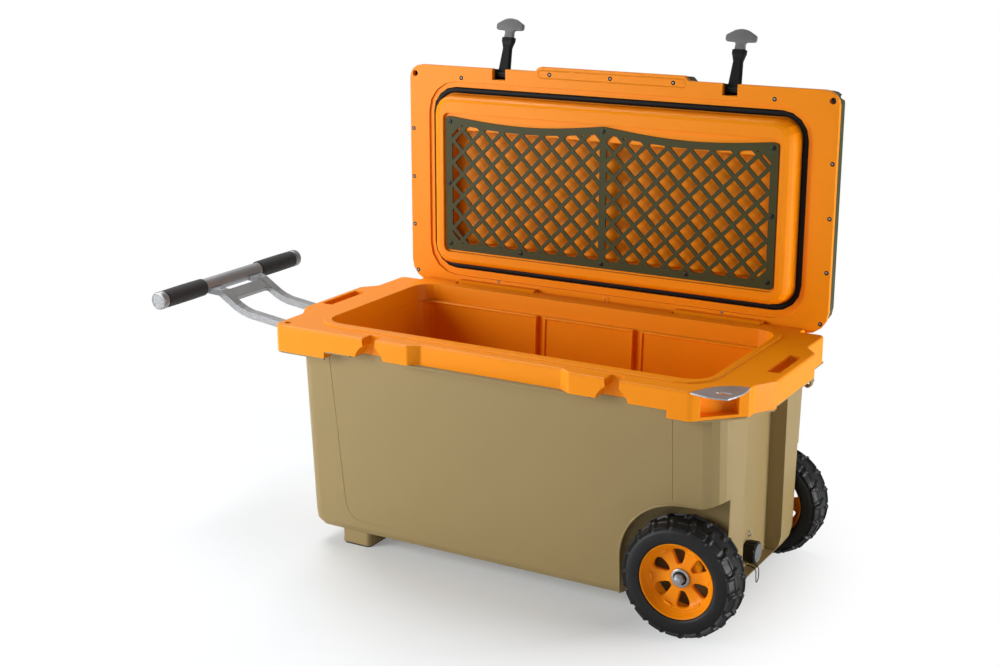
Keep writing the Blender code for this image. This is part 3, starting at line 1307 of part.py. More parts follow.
def make_crossbar():
    """Web between the legs with rounded windows above and below its bar."""
    rise = Vector((RISE_X, RISE_Z))
    bend = Vector((BEND_X, leg_height(BEND_X) + BEND_RISE))
    lead = (rise - bend).normalized()
    start = bend.lerp(rise, (CROSSBAR_START_X - BEND_X) / (RISE_X - BEND_X))
    middle = start + lead * (CROSSBAR_WIDTH / 2)
    reach = CROSSBAR_WIDTH / 2 + CROSSBAR_FILLET
    web = loft("web", [
        leg_section(middle - lead * reach, lead, 0, LEG_Y, CROSSBAR_THICKNESS),
        leg_section(middle + lead * reach, lead, 0, LEG_Y, CROSSBAR_THICKNESS),
    ])
    turn = Matrix.Rotation(math.atan2(lead.y, lead.x), 4, "Y")
    inner = LEG_Y - LEG_HALF_WIDTH + SEAT_GAP
    for side in (-1, 1):
        near = CROSSBAR_WIDTH / 2
        far = reach + 3 * CROSSBAR_FILLET
        x0, x1 = sorted((side * near, side * far))
        window = prism("window", rounded_rectangle(x0, x1, -inner, inner, CROSSBAR_FILLET),
                       -LEG_THICKNESS, LEG_THICKNESS)
        window.data.transform(Matrix.Translation((-middle.x, 0, middle.y)) @ turn)
        cut(web, window)
    return web


def make_pull_handle(materials, parent, origin):
    """Cast frame, cross tube, foam grips and end caps."""
    front = make_leg(-LEG_Y)
    frame = join(front, make_leg(LEG_Y))
    join(frame, make_crossbar())
    frame.name = "handle_frame"
    frame.data.materials.append(materials["metal"])
    ends = (-TUBE_X, -TUBE_HALF_LENGTH, TUBE_Z), (-TUBE_X, TUBE_HALF_LENGTH, TUBE_Z)
    cut(frame, rod("tube_bore", TUBE_RADIUS + SEAT_GAP, *ends, ROUND_STEPS))
    cut(frame, rod("pin_bore", HANDLE_PIN_RADIUS + RUNNING_GAP, (-PIVOT_X, -RIM_FRONT_Y, PIVOT_Z),
                   (-PIVOT_X, RIM_FRONT_Y, PIVOT_Z), PIN_STEPS))
    finish(frame, parent, origin)
    tube = rod("handle_tube", TUBE_RADIUS, *ends, ROUND_STEPS, materials["metal"])
    finish(tube, parent, origin)
    inner = TUBE_RADIUS + SEAT_GAP
    for side, place in ((-1, "front"), (1, "rear")):
        grip = turned("grip_" + place, [
            (inner, GRIP_INNER_Y), (GRIP_RADIUS, GRIP_INNER_Y), (GRIP_RADIUS, GRIP_OUTER_Y),
            (inner, GRIP_OUTER_Y),
        ], ROUND_STEPS, materials["foam"])
        start = GRIP_OUTER_Y + SEAT_GAP
        cap = rod("grip_cap_" + place, GRIP_RADIUS, (0, 0, start),
                  (0, 0, TUBE_HALF_LENGTH + SEAT_GAP + CAP_LENGTH), ROUND_STEPS, materials["grey"])
        bottom = TUBE_HALF_LENGTH + SEAT_GAP
        cut(cap, rod("sleeve", inner, (0, 0, start - OVERRUN), (0, 0, bottom), ROUND_STEPS))
        turn = Matrix.Rotation(-math.radians(90) * side, 4, "X")
        for piece in (grip, cap):
            piece.data.transform(Matrix.Translation((-TUBE_X, 0, TUBE_Z)) @ turn)
            finish(piece, parent, origin)


def make_handle_brackets(metal, steel, parent):
    """Clevis brackets on the tub's end wall, each with its pin."""
    wall = -TUB_LEFT_X - SEAT_GAP
    gap = LEG_HALF_WIDTH + RUNNING_GAP
    for side, place in ((-1, "front"), (1, "rear")):
        centre = side * LEG_Y
        half = gap + BRACKET_LUG
        side_reach = half + BRACKET_MARGIN
        bracket = block("handle_bracket_" + place, wall - BRACKET_PLATE, wall, centre - side_reach,
                        centre + side_reach, PIVOT_Z - BRACKET_HALF_HEIGHT,
                        PIVOT_Z + BRACKET_HALF_HEIGHT, metal)
        eye = BRACKET_EYE_RADIUS
        for start in (centre - half, centre + gap):
            lug = block("lug", -PIVOT_X, wall - BRACKET_PLATE / 2, start, start + BRACKET_LUG,
                        PIVOT_Z - eye, PIVOT_Z + eye)
            near, far = (-PIVOT_X, start, PIVOT_Z), (-PIVOT_X, start + BRACKET_LUG, PIVOT_Z)
            round_end = rod("round_end", eye, near, far, ROUND_STEPS)
            join(lug, round_end)
            join(bracket, lug)
        far = half + OVERRUN
        cut(bracket, rod("bore", HANDLE_PIN_RADIUS + SEAT_GAP, (-PIVOT_X, centre - far, PIVOT_Z),
                         (-PIVOT_X, centre + far, PIVOT_Z), PIN_STEPS))
        finish(bracket, parent)
        pin = rod("handle_pin_" + place, HANDLE_PIN_RADIUS, (-PIVOT_X, centre - half, PIVOT_Z),
                  (-PIVOT_X, centre + half, PIVOT_Z), PIN_STEPS, steel)
        finish(pin, parent)


def make_drain(materials, parent, knob_parent, origin):
    """Drain spout, ribbed cap with its face disc, and the tether loop."""
    wall = END_RECESS_X + SEAT_GAP
    spout = rod("drain_spout", SPOUT_FLANGE_RADIUS, (wall, 0, DRAIN_Z), (wall + SPOUT_FLANGE, 0, DRAIN_Z),
                ROUND_STEPS, materials["black"])
    ends = (wall - TUB_WALL, 0, DRAIN_Z), (wall + SPOUT_LENGTH, 0, DRAIN_Z)
    stub = rod("stub", SPOUT_RADIUS, *ends, ROUND_STEPS)
    join(spout, stub)
    finish(spout, parent)
    base = SPOUT_FLANGE + RUNNING_GAP
    top = DRAIN_LENGTH - DRAIN_FACE_THICKNESS / 2
    seat = top - DRAIN_FACE_THICKNESS
    deep = SPOUT_LENGTH + RUNNING_GAP
    face_hole = DRAIN_FACE_RADIUS + SEAT_GAP
    steps = DRAIN_RIBS * 3

    def rib(step, index):
        return DRAIN_RIB_DEPTH if index in (1, 2) and step % 3 == 2 else 0.0

    chamfer = DRAIN_RIB_DEPTH
    profile = [
        (DRAIN_INNER_RADIUS, base), (DRAIN_RADIUS, base), (DRAIN_RADIUS, top - chamfer),
        (DRAIN_RADIUS - chamfer, top), (face_hole, top), (face_hole, seat), (DRAIN_RIB_DEPTH, seat),
        (DRAIN_RIB_DEPTH, deep), (DRAIN_INNER_RADIUS, deep),
    ]
    knob = turned("drain_knob", profile, steps, materials["black"], rib)
    face = rod("drain_face", DRAIN_FACE_RADIUS, (0, 0, seat + SEAT_GAP), (0, 0, DRAIN_LENGTH), ROUND_STEPS,
               materials["grey"])
    turn = Matrix.Rotation(math.radians(90), 4, "Y")
    for piece in (knob, face):
        piece.data.transform(Matrix.Translation((wall, 0, DRAIN_Z)) @ turn)
        finish(piece, knob_parent, origin)
    tether = make_tether(materials["black"])
    finish(tether, parent)


def smooth_route(route, count):
    """Points along a Catmull-Rom curve through the route."""
    points = [Vector(point) for point in route]
    points = [2 * points[0] - points[1]] + points + [2 * points[-1] - points[-2]]
    result = []
    for step in range(count + 1):
        place = step / count * (len(route) - 1)
        index = min(int(place), len(route) - 2)
        t = place - index
        a, b, c, d = points[index:index + 4]
        result.append((b * 2 + (c - a) * t + (a * 2 - b * 5 + c * 4 - d) * t * t
                       + (b * 3 - a - c * 3 + d) * t * t * t) / 2)
    return result


def make_tether(material):
    """Thin loop that keeps the drain cap with the tub."""
    curve = bpy.data.curves.new("drain_tether", "CURVE")
    curve.dimensions = "3D"
    curve.bevel_depth = TETHER_RADIUS
    curve.bevel_resolution = 2
    curve.use_fill_caps = True
    start = Vector((END_RECESS_X, 0, DRAIN_Z))
    points = [start + point for point in smooth_route(TETHER_ROUTE, TETHER_POINTS)]
    spline = curve.splines.new("POLY")
    spline.points.add(len(points) - 1)
    for slot, point in zip(spline.points, points):
        slot.co = (*point, 1)
    raw = bpy.data.objects.new("drain_tether_route", curve)
    bpy.context.scene.collection.objects.link(raw)
    graph = bpy.context.evaluated_depsgraph_get()
    mesh = bpy.data.meshes.new_from_object(raw.evaluated_get(graph))
    bpy.data.objects.remove(raw, do_unlink=True)
    mesh.materials.clear()
    mesh.materials.append(material)
    item = bpy.data.objects.new("drain_tether", mesh)
    bpy.context.scene.collection.objects.link(item)
    return item


def make_hinge_pins(steel, parent):
    """Pins through the rim's and the lid's hinge barrels."""
    for side, place in ((-1, "left"), (1, "right")):
        start = side * (HINGE_PIN_START_X + SEAT_GAP)
        end = side * (TUB_BARREL_OUTER_X - SEAT_GAP)
        pin = rod("hinge_pin_" + place, HINGE_PIN_RADIUS, (start, HINGE_Y, HINGE_Z), (end, HINGE_Y, HINGE_Z),
                  PIN_STEPS, steel)
        finish(pin, parent)


def make_latch_pins(steel, parent, origin):
    """Pins that the straps turn on."""
    reach = LATCH_SLOT_HALF_WIDTH + LATCH_PIN_SEAT
    for side, place in ((-1, "left"), (1, "right")):
        centre = side * LATCH_X
        pin = rod("latch_pin_" + place, LATCH_PIN_RADIUS, (centre - reach, -LATCH_PIVOT_Y, LATCH_PIVOT_Z),
                  (centre + reach, -LATCH_PIVOT_Y, LATCH_PIVOT_Z), PIN_STEPS, steel)
        finish(pin, parent, origin)


def make_materials():
    """Principled materials of the whole cooler."""
    return {
        "tan": make_material("tan_plastic", TAN, 0.5, 0.0),
        "orange": make_material("orange_plastic", ORANGE, 0.4, 0.0),
        "olive": make_material("olive_plastic", OLIVE, 0.55, 0.0),
        "black": make_material("black_plastic", BLACK, 0.5, 0.0),
        "rubber": make_material("black_rubber", DARK, 0.8, 0.0),
        "foam": make_material("grip_foam", DARK, 0.95, 0.0),
        "grey": make_material("grey_plastic", GREY, 0.45, 0.0),
        "metal": make_material("cast_metal", METAL, 0.4, 1.0),
        "steel": make_material("steel", STEEL, 0.3, 1.0),
    }


def centre_on_floor(root):
    """Move the cooler so that the origin lies under the middle of its box."""
    bpy.context.view_layer.update()
    corners = [
        item.matrix_world @ Vector(corner)
        for item in bpy.data.objects if item.type == "MESH" for corner in item.bound_box
    ]
    for axis in (0, 1):
        values = [corner[axis] for corner in corners]
        root.location[axis] -= (min(values) + max(values)) / 2


def main():
    """Build the cooler."""
    clear_scene()
    kit = make_materials()
    cooler = make_empty("cooler", (0, 0, 0), None)
    make_tub_shell(kit["tan"], cooler)
    make_liner(kit["orange"], cooler)
    make_opener_plate(kit["steel"], cooler)
    make_foot_pads(kit["rubber"], cooler)
    make_hinge_pins(kit["steel"], cooler)
    hinge = (0, HINGE_Y, HINGE_Z)
    lid = make_empty("lid_hinge", hinge, cooler)
    make_lid_inner(kit["orange"], lid, hinge)
    make_lid_outer(kit["olive"], lid, hinge)
    make_gasket(kit["rubber"], lid, hinge)
    make_cargo_panel(kit["olive"], lid, hinge)
    make_latch_pins(kit["steel"], lid, hinge)
    for side, name in ((-1, "latch_left"), (1, "latch_right")):
        place = (side * LATCH_X, -LATCH_PIVOT_Y - HINGE_Y, LATCH_PIVOT_Z - HINGE_Z)
        pivot = make_empty(name + "_pivot", place, lid)
        make_latch(name, kit["rubber"], kit["grey"], pivot)
        pivot.rotation_euler.x = -LATCH_SWING
    lid.rotation_euler.x = -LID_OPEN_ANGLE
    for side, name in ((-1, "front"), (1, "rear")):
        centre = make_empty("wheel_centre_" + name, (WHEEL_X, side * WHEEL_Y, TYRE_RADIUS), cooler)
        make_tyre("tyre_" + name, kit["rubber"], centre, -side)
        make_hub("hub_" + name, kit["orange"], centre, -side)
    make_axle(kit["steel"], cooler)
    pivot = (-PIVOT_X, 0, PIVOT_Z)
    handle = make_empty("handle_pivot", pivot, cooler)
    make_pull_handle(kit, handle, pivot)
    make_handle_brackets(kit["metal"], kit["steel"], cooler)
    drain = (END_RECESS_X, 0, DRAIN_Z)
    cap = make_empty("drain_cap", drain, cooler)
    make_drain(kit, cooler, cap, drain)
    centre_on_floor(cooler)
    bpy.context.view_layer.update()


main()
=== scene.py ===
"""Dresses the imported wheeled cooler: finishes, tyres, latches, grips, screws and trim.

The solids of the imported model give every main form. This script adds the forms and the finishes
that show on the real object, and sets the studio with its floor, lamps and camera.
Lengths are in metres. X runs towards the wheels, Y from the latches to the hinge, Z up.
"""

import json
import logging
import math
from dataclasses import dataclass
from enum import Enum
from typing import Iterator, Optional, Sequence

import bpy
import numpy as np
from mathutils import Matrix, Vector


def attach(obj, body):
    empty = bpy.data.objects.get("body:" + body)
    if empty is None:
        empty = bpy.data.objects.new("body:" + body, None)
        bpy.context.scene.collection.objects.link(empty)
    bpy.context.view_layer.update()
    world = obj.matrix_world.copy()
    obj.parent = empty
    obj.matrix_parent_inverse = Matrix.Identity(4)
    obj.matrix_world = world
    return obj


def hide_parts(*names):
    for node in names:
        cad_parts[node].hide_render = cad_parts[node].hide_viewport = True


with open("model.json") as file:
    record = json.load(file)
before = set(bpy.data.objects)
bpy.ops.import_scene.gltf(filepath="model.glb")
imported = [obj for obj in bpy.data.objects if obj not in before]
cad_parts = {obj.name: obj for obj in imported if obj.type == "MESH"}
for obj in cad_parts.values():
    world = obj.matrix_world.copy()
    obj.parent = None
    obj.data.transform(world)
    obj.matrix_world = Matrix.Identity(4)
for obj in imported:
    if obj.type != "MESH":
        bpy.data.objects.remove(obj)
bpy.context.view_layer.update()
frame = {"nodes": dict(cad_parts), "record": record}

LOG = logging.getLogger("cooler")
Points = np.ndarray
Pair = tuple[float, float]
Triple = tuple[float, float, float]
Shape = tuple[Points, list]
Material = bpy.types.Material
Socket = bpy.types.NodeSocket

CENTRE = np.array([0.13845, -0.0273, 0.0])  # from the cooler's own frame to the row's
HINGE = (0.218, 0.4159)  # y and z
LATCH_PIVOT = (0.210, 0.4495)  # -y and z with the lid shut
LATCH_X = 0.2385
LATCH_SWING = math.radians(106)
WHEEL = np.array([0.36395, 0.203, 0.10385])
TUBE = (-0.7324, 0.4327)  # x and z
SIDES = ((-1, "front"), (1, "rear"))
FULL_TURN = 2 * math.pi


class Tone(Enum):
    """Linear colours of the cooler's finishes."""

    ORANGE = (0.870, 0.262, 0.001)
    TAN = (0.290, 0.211, 0.090)
    OLIVE = (0.046, 0.047, 0.012)
    TYRE = (0.0045, 0.0045, 0.0050)
    RUBBER = (0.0055, 0.0055, 0.0058)
    BLACK = (0.0035, 0.0035, 0.0038)
    GREY = (0.135, 0.137, 0.140)
    FOAM = (0.012, 0.012, 0.013)
    CAST = (0.300, 0.305, 0.312)
    STEEL = (0.360, 0.370, 0.380)

    def lighter(self, share: float, lift: float = 0.0) -> tuple[float, float, float, float]:
        """Colour times a share, plus a lift, with full alpha."""
        return (*(min(value * share + lift, 1.0) for value in self.value), 1.0)


# ---- shapes ----

def open_lid(points: Points) -> Points:
    """Turn points of the closed lid about the hinge by a right angle, to where the lid stands.

    Args:
        points: Rows of x, y, z with the lid shut.

    Returns:
        The same rows with the lid open.
    """
    turned = np.array(points, float)
    turned[..., 1] = HINGE[0] + points[..., 2] - HINGE[1]
    turned[..., 2] = HINGE[1] - points[..., 1] + HINGE[0]
    return turned


def swung_latch(points: Points) -> Points:
    """Turn points of a hanging latch about its pin, then with the lid.

    Args:
        points: Rows of x, y, z with the lid shut and the latch hanging.

    Returns:
        The same rows with the lid open and the latch thrown back.
    """
    c, s = math.cos(-LATCH_SWING), math.sin(-LATCH_SWING)
    y, z = points[..., 1] + LATCH_PIVOT[0], points[..., 2] - LATCH_PIVOT[1]
    turned = np.array(points, float)
    turned[..., 1] = y * c - z * s - LATCH_PIVOT[0]
    turned[..., 2] = y * s + z * c + LATCH_PIVOT[1]
    return open_lid(turned)


def turn(steps: int) -> Points:
    """Even angles once round, the last short of the first."""
    return np.arange(steps) * FULL_TURN / steps


def grid_faces(rows: int, columns: int, wrap_rows: bool) -> Points:
    """Quads between neighbours of a grid of points whose columns go round.

    Args:
        rows: Rows of the grid.
        columns: Columns of the grid.
        wrap_rows: Whether the last row joins the first.

    Returns:
        Rows of four indices.
    """
    i, j = np.meshgrid(np.arange(rows if wrap_rows else rows - 1), np.arange(columns), indexing="ij")
    i, j = i.ravel(), j.ravel()
    k, l = (i + 1) % rows, (j + 1) % columns
    return np.stack([i * columns + j, k * columns + j, k * columns + l, i * columns + l], 1)


def capped(rows: int, columns: int) -> list:
    """Faces of a stack of rings, with one face to close each end."""
    ends = [list(range(columns))[::-1], list(range((rows - 1) * columns, rows * columns))]
    return grid_faces(rows, columns, False)[:, ::-1].tolist() + ends


def flipped(faces: Sequence) -> list:
    """Faces that look the other way."""
    return [list(face)[::-1] for face in faces]


def mirrored(shape: Shape, side: int) -> Shape:
    """Shape of the +Y side as it is, or mirrored to the other side.

    Args:
        shape: Points and faces on the +Y side.
        side: 1 to leave them, -1 to mirror them.

    Returns:
        Points and faces.
    """
    points, faces = shape
    return (points, faces) if side > 0 else (points * [1.0, -1.0, 1.0], flipped(faces))


def stacked(parts: Sequence[Shape]) -> Shape:
    """Join several shapes into one.

    Args:
        parts: Points and faces of each.

    Returns:
        Points and faces of all.
    """
    points, faces, start = [], [], 0
    for rows, quads in parts:
        points.append(np.asarray(rows).reshape(-1, 3))
        faces.extend([[int(k) + start for k in quad] for quad in quads])
        start += len(points[-1])
    return np.concatenate(points), faces


def lathe(profile: Sequence[Pair], steps: int, centre: Triple, axis: int, closed: bool = False) -> Shape:
    """Turn a profile of (radius, distance) about an axis through a centre.

    The point at angle t is centre + distance * axis + radius * (cos t, sin t) across it.

    Args:
        profile: Radius and distance along the axis, anticlockwise where the profile is closed.
        steps: Points round the axis.
        centre: A point on the axis.
        axis: 0, 1 or 2 for X, Y or Z.
        closed: Whether the profile's end joins its start. Otherwise one face closes each end.

    Returns:
        Points and faces.
    """
    line, t = np.array(profile, float), turn(steps)[None, :]
    r, along = line[:, :1], line[:, 1:]
    across = np.stack([r * np.cos(t), r * np.sin(t), along * np.ones_like(t)], -1)
    points = np.roll(across, axis + 1, -1) + np.array(centre)
    faces = grid_faces(len(line), steps, True)[:, ::-1] if closed else capped(len(line), steps)
    return points.reshape(-1, 3), faces


def oval(out: float, up: float) -> list[Pair]:
    """Section of ten points on an ellipse: (out * cos t, up * sin t)."""
    return [(out * math.cos(t), up * math.sin(t)) for t in turn(10)]


def rounded_outline(corners: Sequence[Triple], steps: int) -> Points:
    """Closed outline whose corners (x, y, radius) are arcs that touch both sides.

    Args:
        corners: Corner points with the radius of each.
        steps: Points of each arc.

    Returns:
        Rows of x, y.
    """
    rows = []
    for index, (x, y, radius) in enumerate(corners):
        here = np.array([x, y])
        back = np.array(corners[index - 1][:2]) - here
        ahead = np.array(corners[(index + 1) % len(corners)][:2]) - here
        back, ahead = back / np.linalg.norm(back), ahead / np.linalg.norm(ahead)
        half = math.acos(max(-1.0, min(1.0, float(back @ ahead)))) / 2
        middle = here + (back + ahead) / np.linalg.norm(back + ahead) * radius / math.sin(half)
        start = here + back * radius / math.tan(half) - middle
        end = here + ahead * radius / math.tan(half) - middle
        first = math.atan2(start[1], start[0])
        sweep = (math.atan2(end[1], end[0]) - first + math.pi) % FULL_TURN - math.pi
        t = first + sweep * np.linspace(0, 1, steps)
        rows.extend(middle + radius * np.stack([np.cos(t), np.sin(t)], 1))
    return np.array(rows)


def rounded_box(half: float, front: float, rear: float, corner: float, steps: int) -> Points:
    """Outline of a rounded rectangle from -half to half in x and from front to rear in y."""
    return rounded_outline([(-half, front, corner), (half, front, corner), (half, rear, corner),
                            (-half, rear, corner)], steps)


def outward(outline: Points) -> Points:
    """Unit normals of a closed outline, pointing out where it runs anticlockwise.

    Args:
        outline: Rows of x, y.

    Returns:
        Rows of x, y.
    """
    along = np.roll(outline, -1, 0) - np.roll(outline, 1, 0)
    along /= np.linalg.norm(along, axis=1)[:, None]
    return np.stack([along[:, 1], -along[:, 0]], 1)


def along_outline(outline: Points, section: Sequence[Pair], height: float) -> Shape:
    """Carry a closed section (out, up) along a closed outline.

    The point is outline + out * outward normal, at height + up.

    Args:
        outline: Rows of x, y, anticlockwise.
        section: Distances out and up, anticlockwise as seen along the outline.
        height: Height of the section's zero.

    Returns:
        Points and faces of a closed ring.
    """
    shape = np.array(section)
    flat = outline[:, None, :] + outward(outline)[:, None, :] * shape[None, :, :1]
    up = np.broadcast_to(height + shape[None, :, 1:], (*flat.shape[:2], 1))
    points = np.concatenate([flat, up], 2)
    return points.reshape(-1, 3), grid_faces(len(outline), len(shape), True)


def lofted(outline: Points, inward: Points, up: Points) -> Shape:
    """Stack of one outline's rings, each stepped inwards and set at its height, with closed ends.

    The point is outline - inward * outward normal, at height up.

    Args:
        outline: Rows of x, y, anticlockwise.
        inward: Step of each ring.
        up: Height of each ring.

    Returns:
        Points and faces.
    """
    flat = outline - outward(outline) * inward[:, None, None]
    height = np.broadcast_to(up[:, None, None], (*flat.shape[:2], 1))
    return np.concatenate([flat, height], 2).reshape(-1, 3), capped(*flat.shape[:2])


def tube_along(route: Points, radius: float | Points, steps: int) -> Shape:
    """Round tube along a route of points, with closed ends.

    Each ring stands square to the route. Its axes are carried from ring to ring without twist.

    Args:
        route: Rows of x, y, z.
        radius: One radius, or one for each point.
        steps: Points round the tube.

    Returns:
        Points and faces, closed.
    """
    along = np.gradient(route, axis=0)
    along /= np.linalg.norm(along, axis=1)[:, None]
    upright = abs(along[0][2]) >= 0.9
    side = np.cross(along[0], [0.0, 1.0, 0.0] if upright else [0.0, 0.0, 1.0])
    rings, t = [], turn(steps)[:, None]
    for centre, way, r in zip(route, along, np.broadcast_to(radius, len(route))):
        side = side - way * (side @ way)
        side /= np.linalg.norm(side)
        rings.append(centre + r * (np.cos(t) * side + np.sin(t) * np.cross(way, side)))
    return np.concatenate(rings), capped(len(route), steps)


def tubes(routes: Sequence[Points], radius: float | Points, steps: int) -> Shape:
    """Several tubes of one radius as one shape."""
    return stacked([tube_along(route, radius, steps) for route in routes])


def evenly(route: Sequence[Triple], step: float) -> Points:
    """Points at even steps along a route of straight runs.

    Args:
        route: Corner points.
        step: Distance between points, about.

    Returns:
        Rows of x, y, z.
    """
    rows = np.array(route, float)
    length = np.concatenate([[0], np.cumsum(np.linalg.norm(np.diff(rows, axis=0), axis=1))])
    even = np.linspace(0, length[-1], max(2, int(length[-1] / step) + 1))
    return np.stack([np.interp(even, length, column) for column in rows.T], 1)


def softened(rows: Points, turns: int) -> Points:
    """Route whose corners are rounded by taking each point towards its neighbours' middle.

    Args:
        rows: Rows of x, y, z.
        turns: How often that is done.

    Returns:
        Rows of x, y, z.
    """
    rows = rows.copy()
    for _ in range(turns):
        rows[1:-1] = 0.5 * rows[1:-1] + 0.25 * (rows[:-2] + rows[2:])
    return rows


# ---- finishes ----

class Graph:
    """Short hand for building a node tree."""

    def __init__(self, tree: bpy.types.NodeTree) -> None:
        """Keep the tree that nodes go into."""
        self.tree = tree

    def fill(self, node: bpy.types.Node, **inputs: object) -> bpy.types.Node:
        """Set or link a node's inputs.

        Args:
            node: The node.
            inputs: Values or output sockets, by socket name with _ for a blank, or by i and index.

        Returns:
            The node.
        """
        for name, value in inputs.items():
            by_index = name[0] == "i" and name[1:].isdigit()
            socket = node.inputs[int(name[1:]) if by_index else name.replace("_", " ")]
            if isinstance(value, Socket):
                self.tree.links.new(value, socket)
            else:
                socket.default_value = value
        return node

    def node(self, kind: str, settings: Optional[dict] = None, **inputs: object) -> bpy.types.Node:
        """Add a shader node, set its properties and fill its inputs.

        Args:
            kind: Blender's node type without its first word.
            settings: Properties of the node.
            inputs: As for fill.

        Returns:
            The node.
        """
        made = self.tree.nodes.new("ShaderNode" + kind)
        for name, value in (settings or {}).items():
            setattr(made, name, value)
        return self.fill(made, **inputs)

    def math(self, what: str, first: object, second: object, clamp: bool = False) -> Socket:
        """Result of a Math node."""
        return self.node("Math", {"operation": what, "use_clamp": clamp}, i0=first, i1=second).outputs[0]

    def add(self, first: object, second: object, clamp: bool = False) -> Socket:
        """Sum of two values."""
        return self.math("ADD", first, second, clamp)

    def times(self, first: object, second: object, clamp: bool = False) -> Socket:
        """Product of two values."""
        return self.math("MULTIPLY", first, second, clamp)

    def vector(self, what: str, **inputs: object) -> bpy.types.Node:
        """Vector Math node."""
        return self.node("VectorMath", {"operation": what}, **inputs)

    def ramp(self, value: object, low: float, high: float, out: Pair = (0.0, 1.0)) -> Socket:
        """Value mapped smoothly from one range to another."""
        ends = {"i1": low, "i2": high, "i3": out[0], "i4": out[1]}
        return self.node("MapRange", {"interpolation_type": "SMOOTHSTEP"}, i0=value, **ends).outputs[0]

    def mix(self, share: object, first: object, second: object) -> Socket:
        """Two colours mixed by a share."""
        return self.node("Mix", {"data_type": "RGBA"}, i0=share, i6=first, i7=second).outputs[2]

    def mix_shader(self, share: object, first: bpy.types.Node, second: bpy.types.Node) -> bpy.types.Node:
        """Two shaders mixed by a share."""
        return self.node("MixShader", i0=share, i1=first.outputs[0], i2=second.outputs[0])

    def group(self, name: str, **inputs: object) -> bpy.types.bpy_prop_collection:
        """Outputs of a node group."""
        return self.node("Group", {"node_tree": bpy.data.node_groups[name]}, **inputs).outputs

    def here(self) -> Socket:
        """Object coordinates."""
        return self.node("TexCoord").outputs["Object"]

    def noise(self, where: object, scale: object, detail: float, rough: float) -> Socket:
        """Noise value at a point."""
        return self.node("TexNoise", Vector=where, Scale=scale, Detail=detail, Roughness=rough).outputs[0]


def new_group(name: str, inputs: dict[str, float], outputs: Sequence[str]
              ) -> tuple[Graph, bpy.types.Node, bpy.types.Node]:
    """Start a shader node group with named sockets.

    Args:
        name: Name of the group.
        inputs: Default of each input, by its name.
        outputs: Name of each output. Normal is a vector, and the others are numbers.

    Returns:
        The group's graph, and its input and output nodes.
    """
    tree = bpy.data.node_groups.new(name, "ShaderNodeTree")
    number, sockets = "NodeSocketFloat", tree.interface
    for label, value in inputs.items():
        sockets.new_socket(label, in_out="INPUT", socket_type=number).default_value = value
    for label in outputs:
        kind = "NodeSocketVector" if label == "Normal" else number
        sockets.new_socket(label, in_out="OUTPUT", socket_type=kind)
    return Graph(tree), tree.nodes.new("NodeGroupInput"), tree.nodes.new("NodeGroupOutput")


def moulded_group() -> None:
    """Moulded plastic: slow tone changes, fine grain, rubbed patches and scratches.

    Tone multiplies the colour, Gloss is added to the roughness and Height goes to a Bump.
    """
    g, given, made = new_group("moulded_surface", {"Grain": 900.0, "Depth": 1.0, "Mottle": 0.05, "Rub": 0.05},
                               ("Tone", "Gloss", "Height"))
    where = g.here()
    slow = g.noise(where, 3.2, 2.0, 0.5)
    cloud = g.noise(where, 21.0, 3.0, 0.55)
    fine = g.noise(where, 260.0, 2.0, 0.6)
    pits = g.node("TexVoronoi", {"feature": "F1"}, Vector=where, Scale=given.outputs["Grain"]).outputs[0]
    centred = g.math("SUBTRACT", g.add(g.times(slow, 0.6), g.times(cloud, 0.4)), 0.5)
    speck = g.math("SUBTRACT", fine, 0.5)
    swing = g.add(centred, g.times(speck, 0.35))
    tone = g.add(1.0, g.times(swing, g.times(given.outputs["Mottle"], 2.0)))
    stretched = g.node("Mapping", Vector=where, Rotation=(0.3, 0.5, 0.9), Scale=(9.0, 260.0, 60.0))
    lines = g.ramp(g.noise(stretched.outputs[0], 1.0, 2.0, 0.4), 0.68, 0.80)
    patches = g.ramp(g.noise(where, 7.0, 3.0, 0.6), 0.52, 0.72)
    scuffs = g.times(lines, patches)
    gloss = g.add(g.times(centred, 0.18), g.times(speck, 0.10))
    gloss = g.add(gloss, g.times(scuffs, given.outputs["Rub"]))
    height = g.times(g.add(pits, g.times(fine, 0.8)), given.outputs["Depth"])
    height = g.math("SUBTRACT", height, g.times(scuffs, 0.5))
    g.fill(made, Tone=tone, Gloss=gloss, Height=height)


def edge_group() -> None:
    """Rubbed edges: where a wide bevel's normal leaves the surface's own, broken up by noise.

    Wear is 0 on flat faces and up to 1 on worn edges. Normal is the narrow bevel's, which rounds
    the edges that light catches.
    """
    g, given, made = new_group("worn_edges", {"Width": 0.002, "Round": 0.001, "Break": 60.0}, ("Wear", "Normal"))
    wide, narrow = (g.node("Bevel", {"samples": 4}, Radius=given.outputs[label]).outputs[0]
                    for label in ("Width", "Round"))
    own = g.node("NewGeometry").outputs["Normal"]
    alike = g.vector("DOT_PRODUCT", i0=wide, i1=own).outputs["Value"]
    edge = g.ramp(g.math("SUBTRACT", 1.0, alike), 0.02, 0.22)
    broken = g.ramp(g.noise(g.here(), given.outputs["Break"], 3.0, 0.6), 0.35, 0.65)
    g.fill(made, Wear=g.times(edge, broken), Normal=narrow)


def dust_group() -> None:
    """Thin dust that settles on faces that look up, and a little all over."""
    g, given, made = new_group("settled_dust", {"Amount": 0.1, "Patch": 12.0}, ("Mask",))
    up = g.node("SeparateXYZ", i0=g.node("NewGeometry").outputs["Normal"]).outputs[2]
    lying = g.ramp(up, 0.3, 1.0, (0.35, 1.0))
    cloud = g.ramp(g.noise(g.here(), given.outputs["Patch"], 5.0, 0.62), 0.40, 0.75)
    g.fill(made, Mask=g.times(g.times(lying, cloud), given.outputs["Amount"], True))


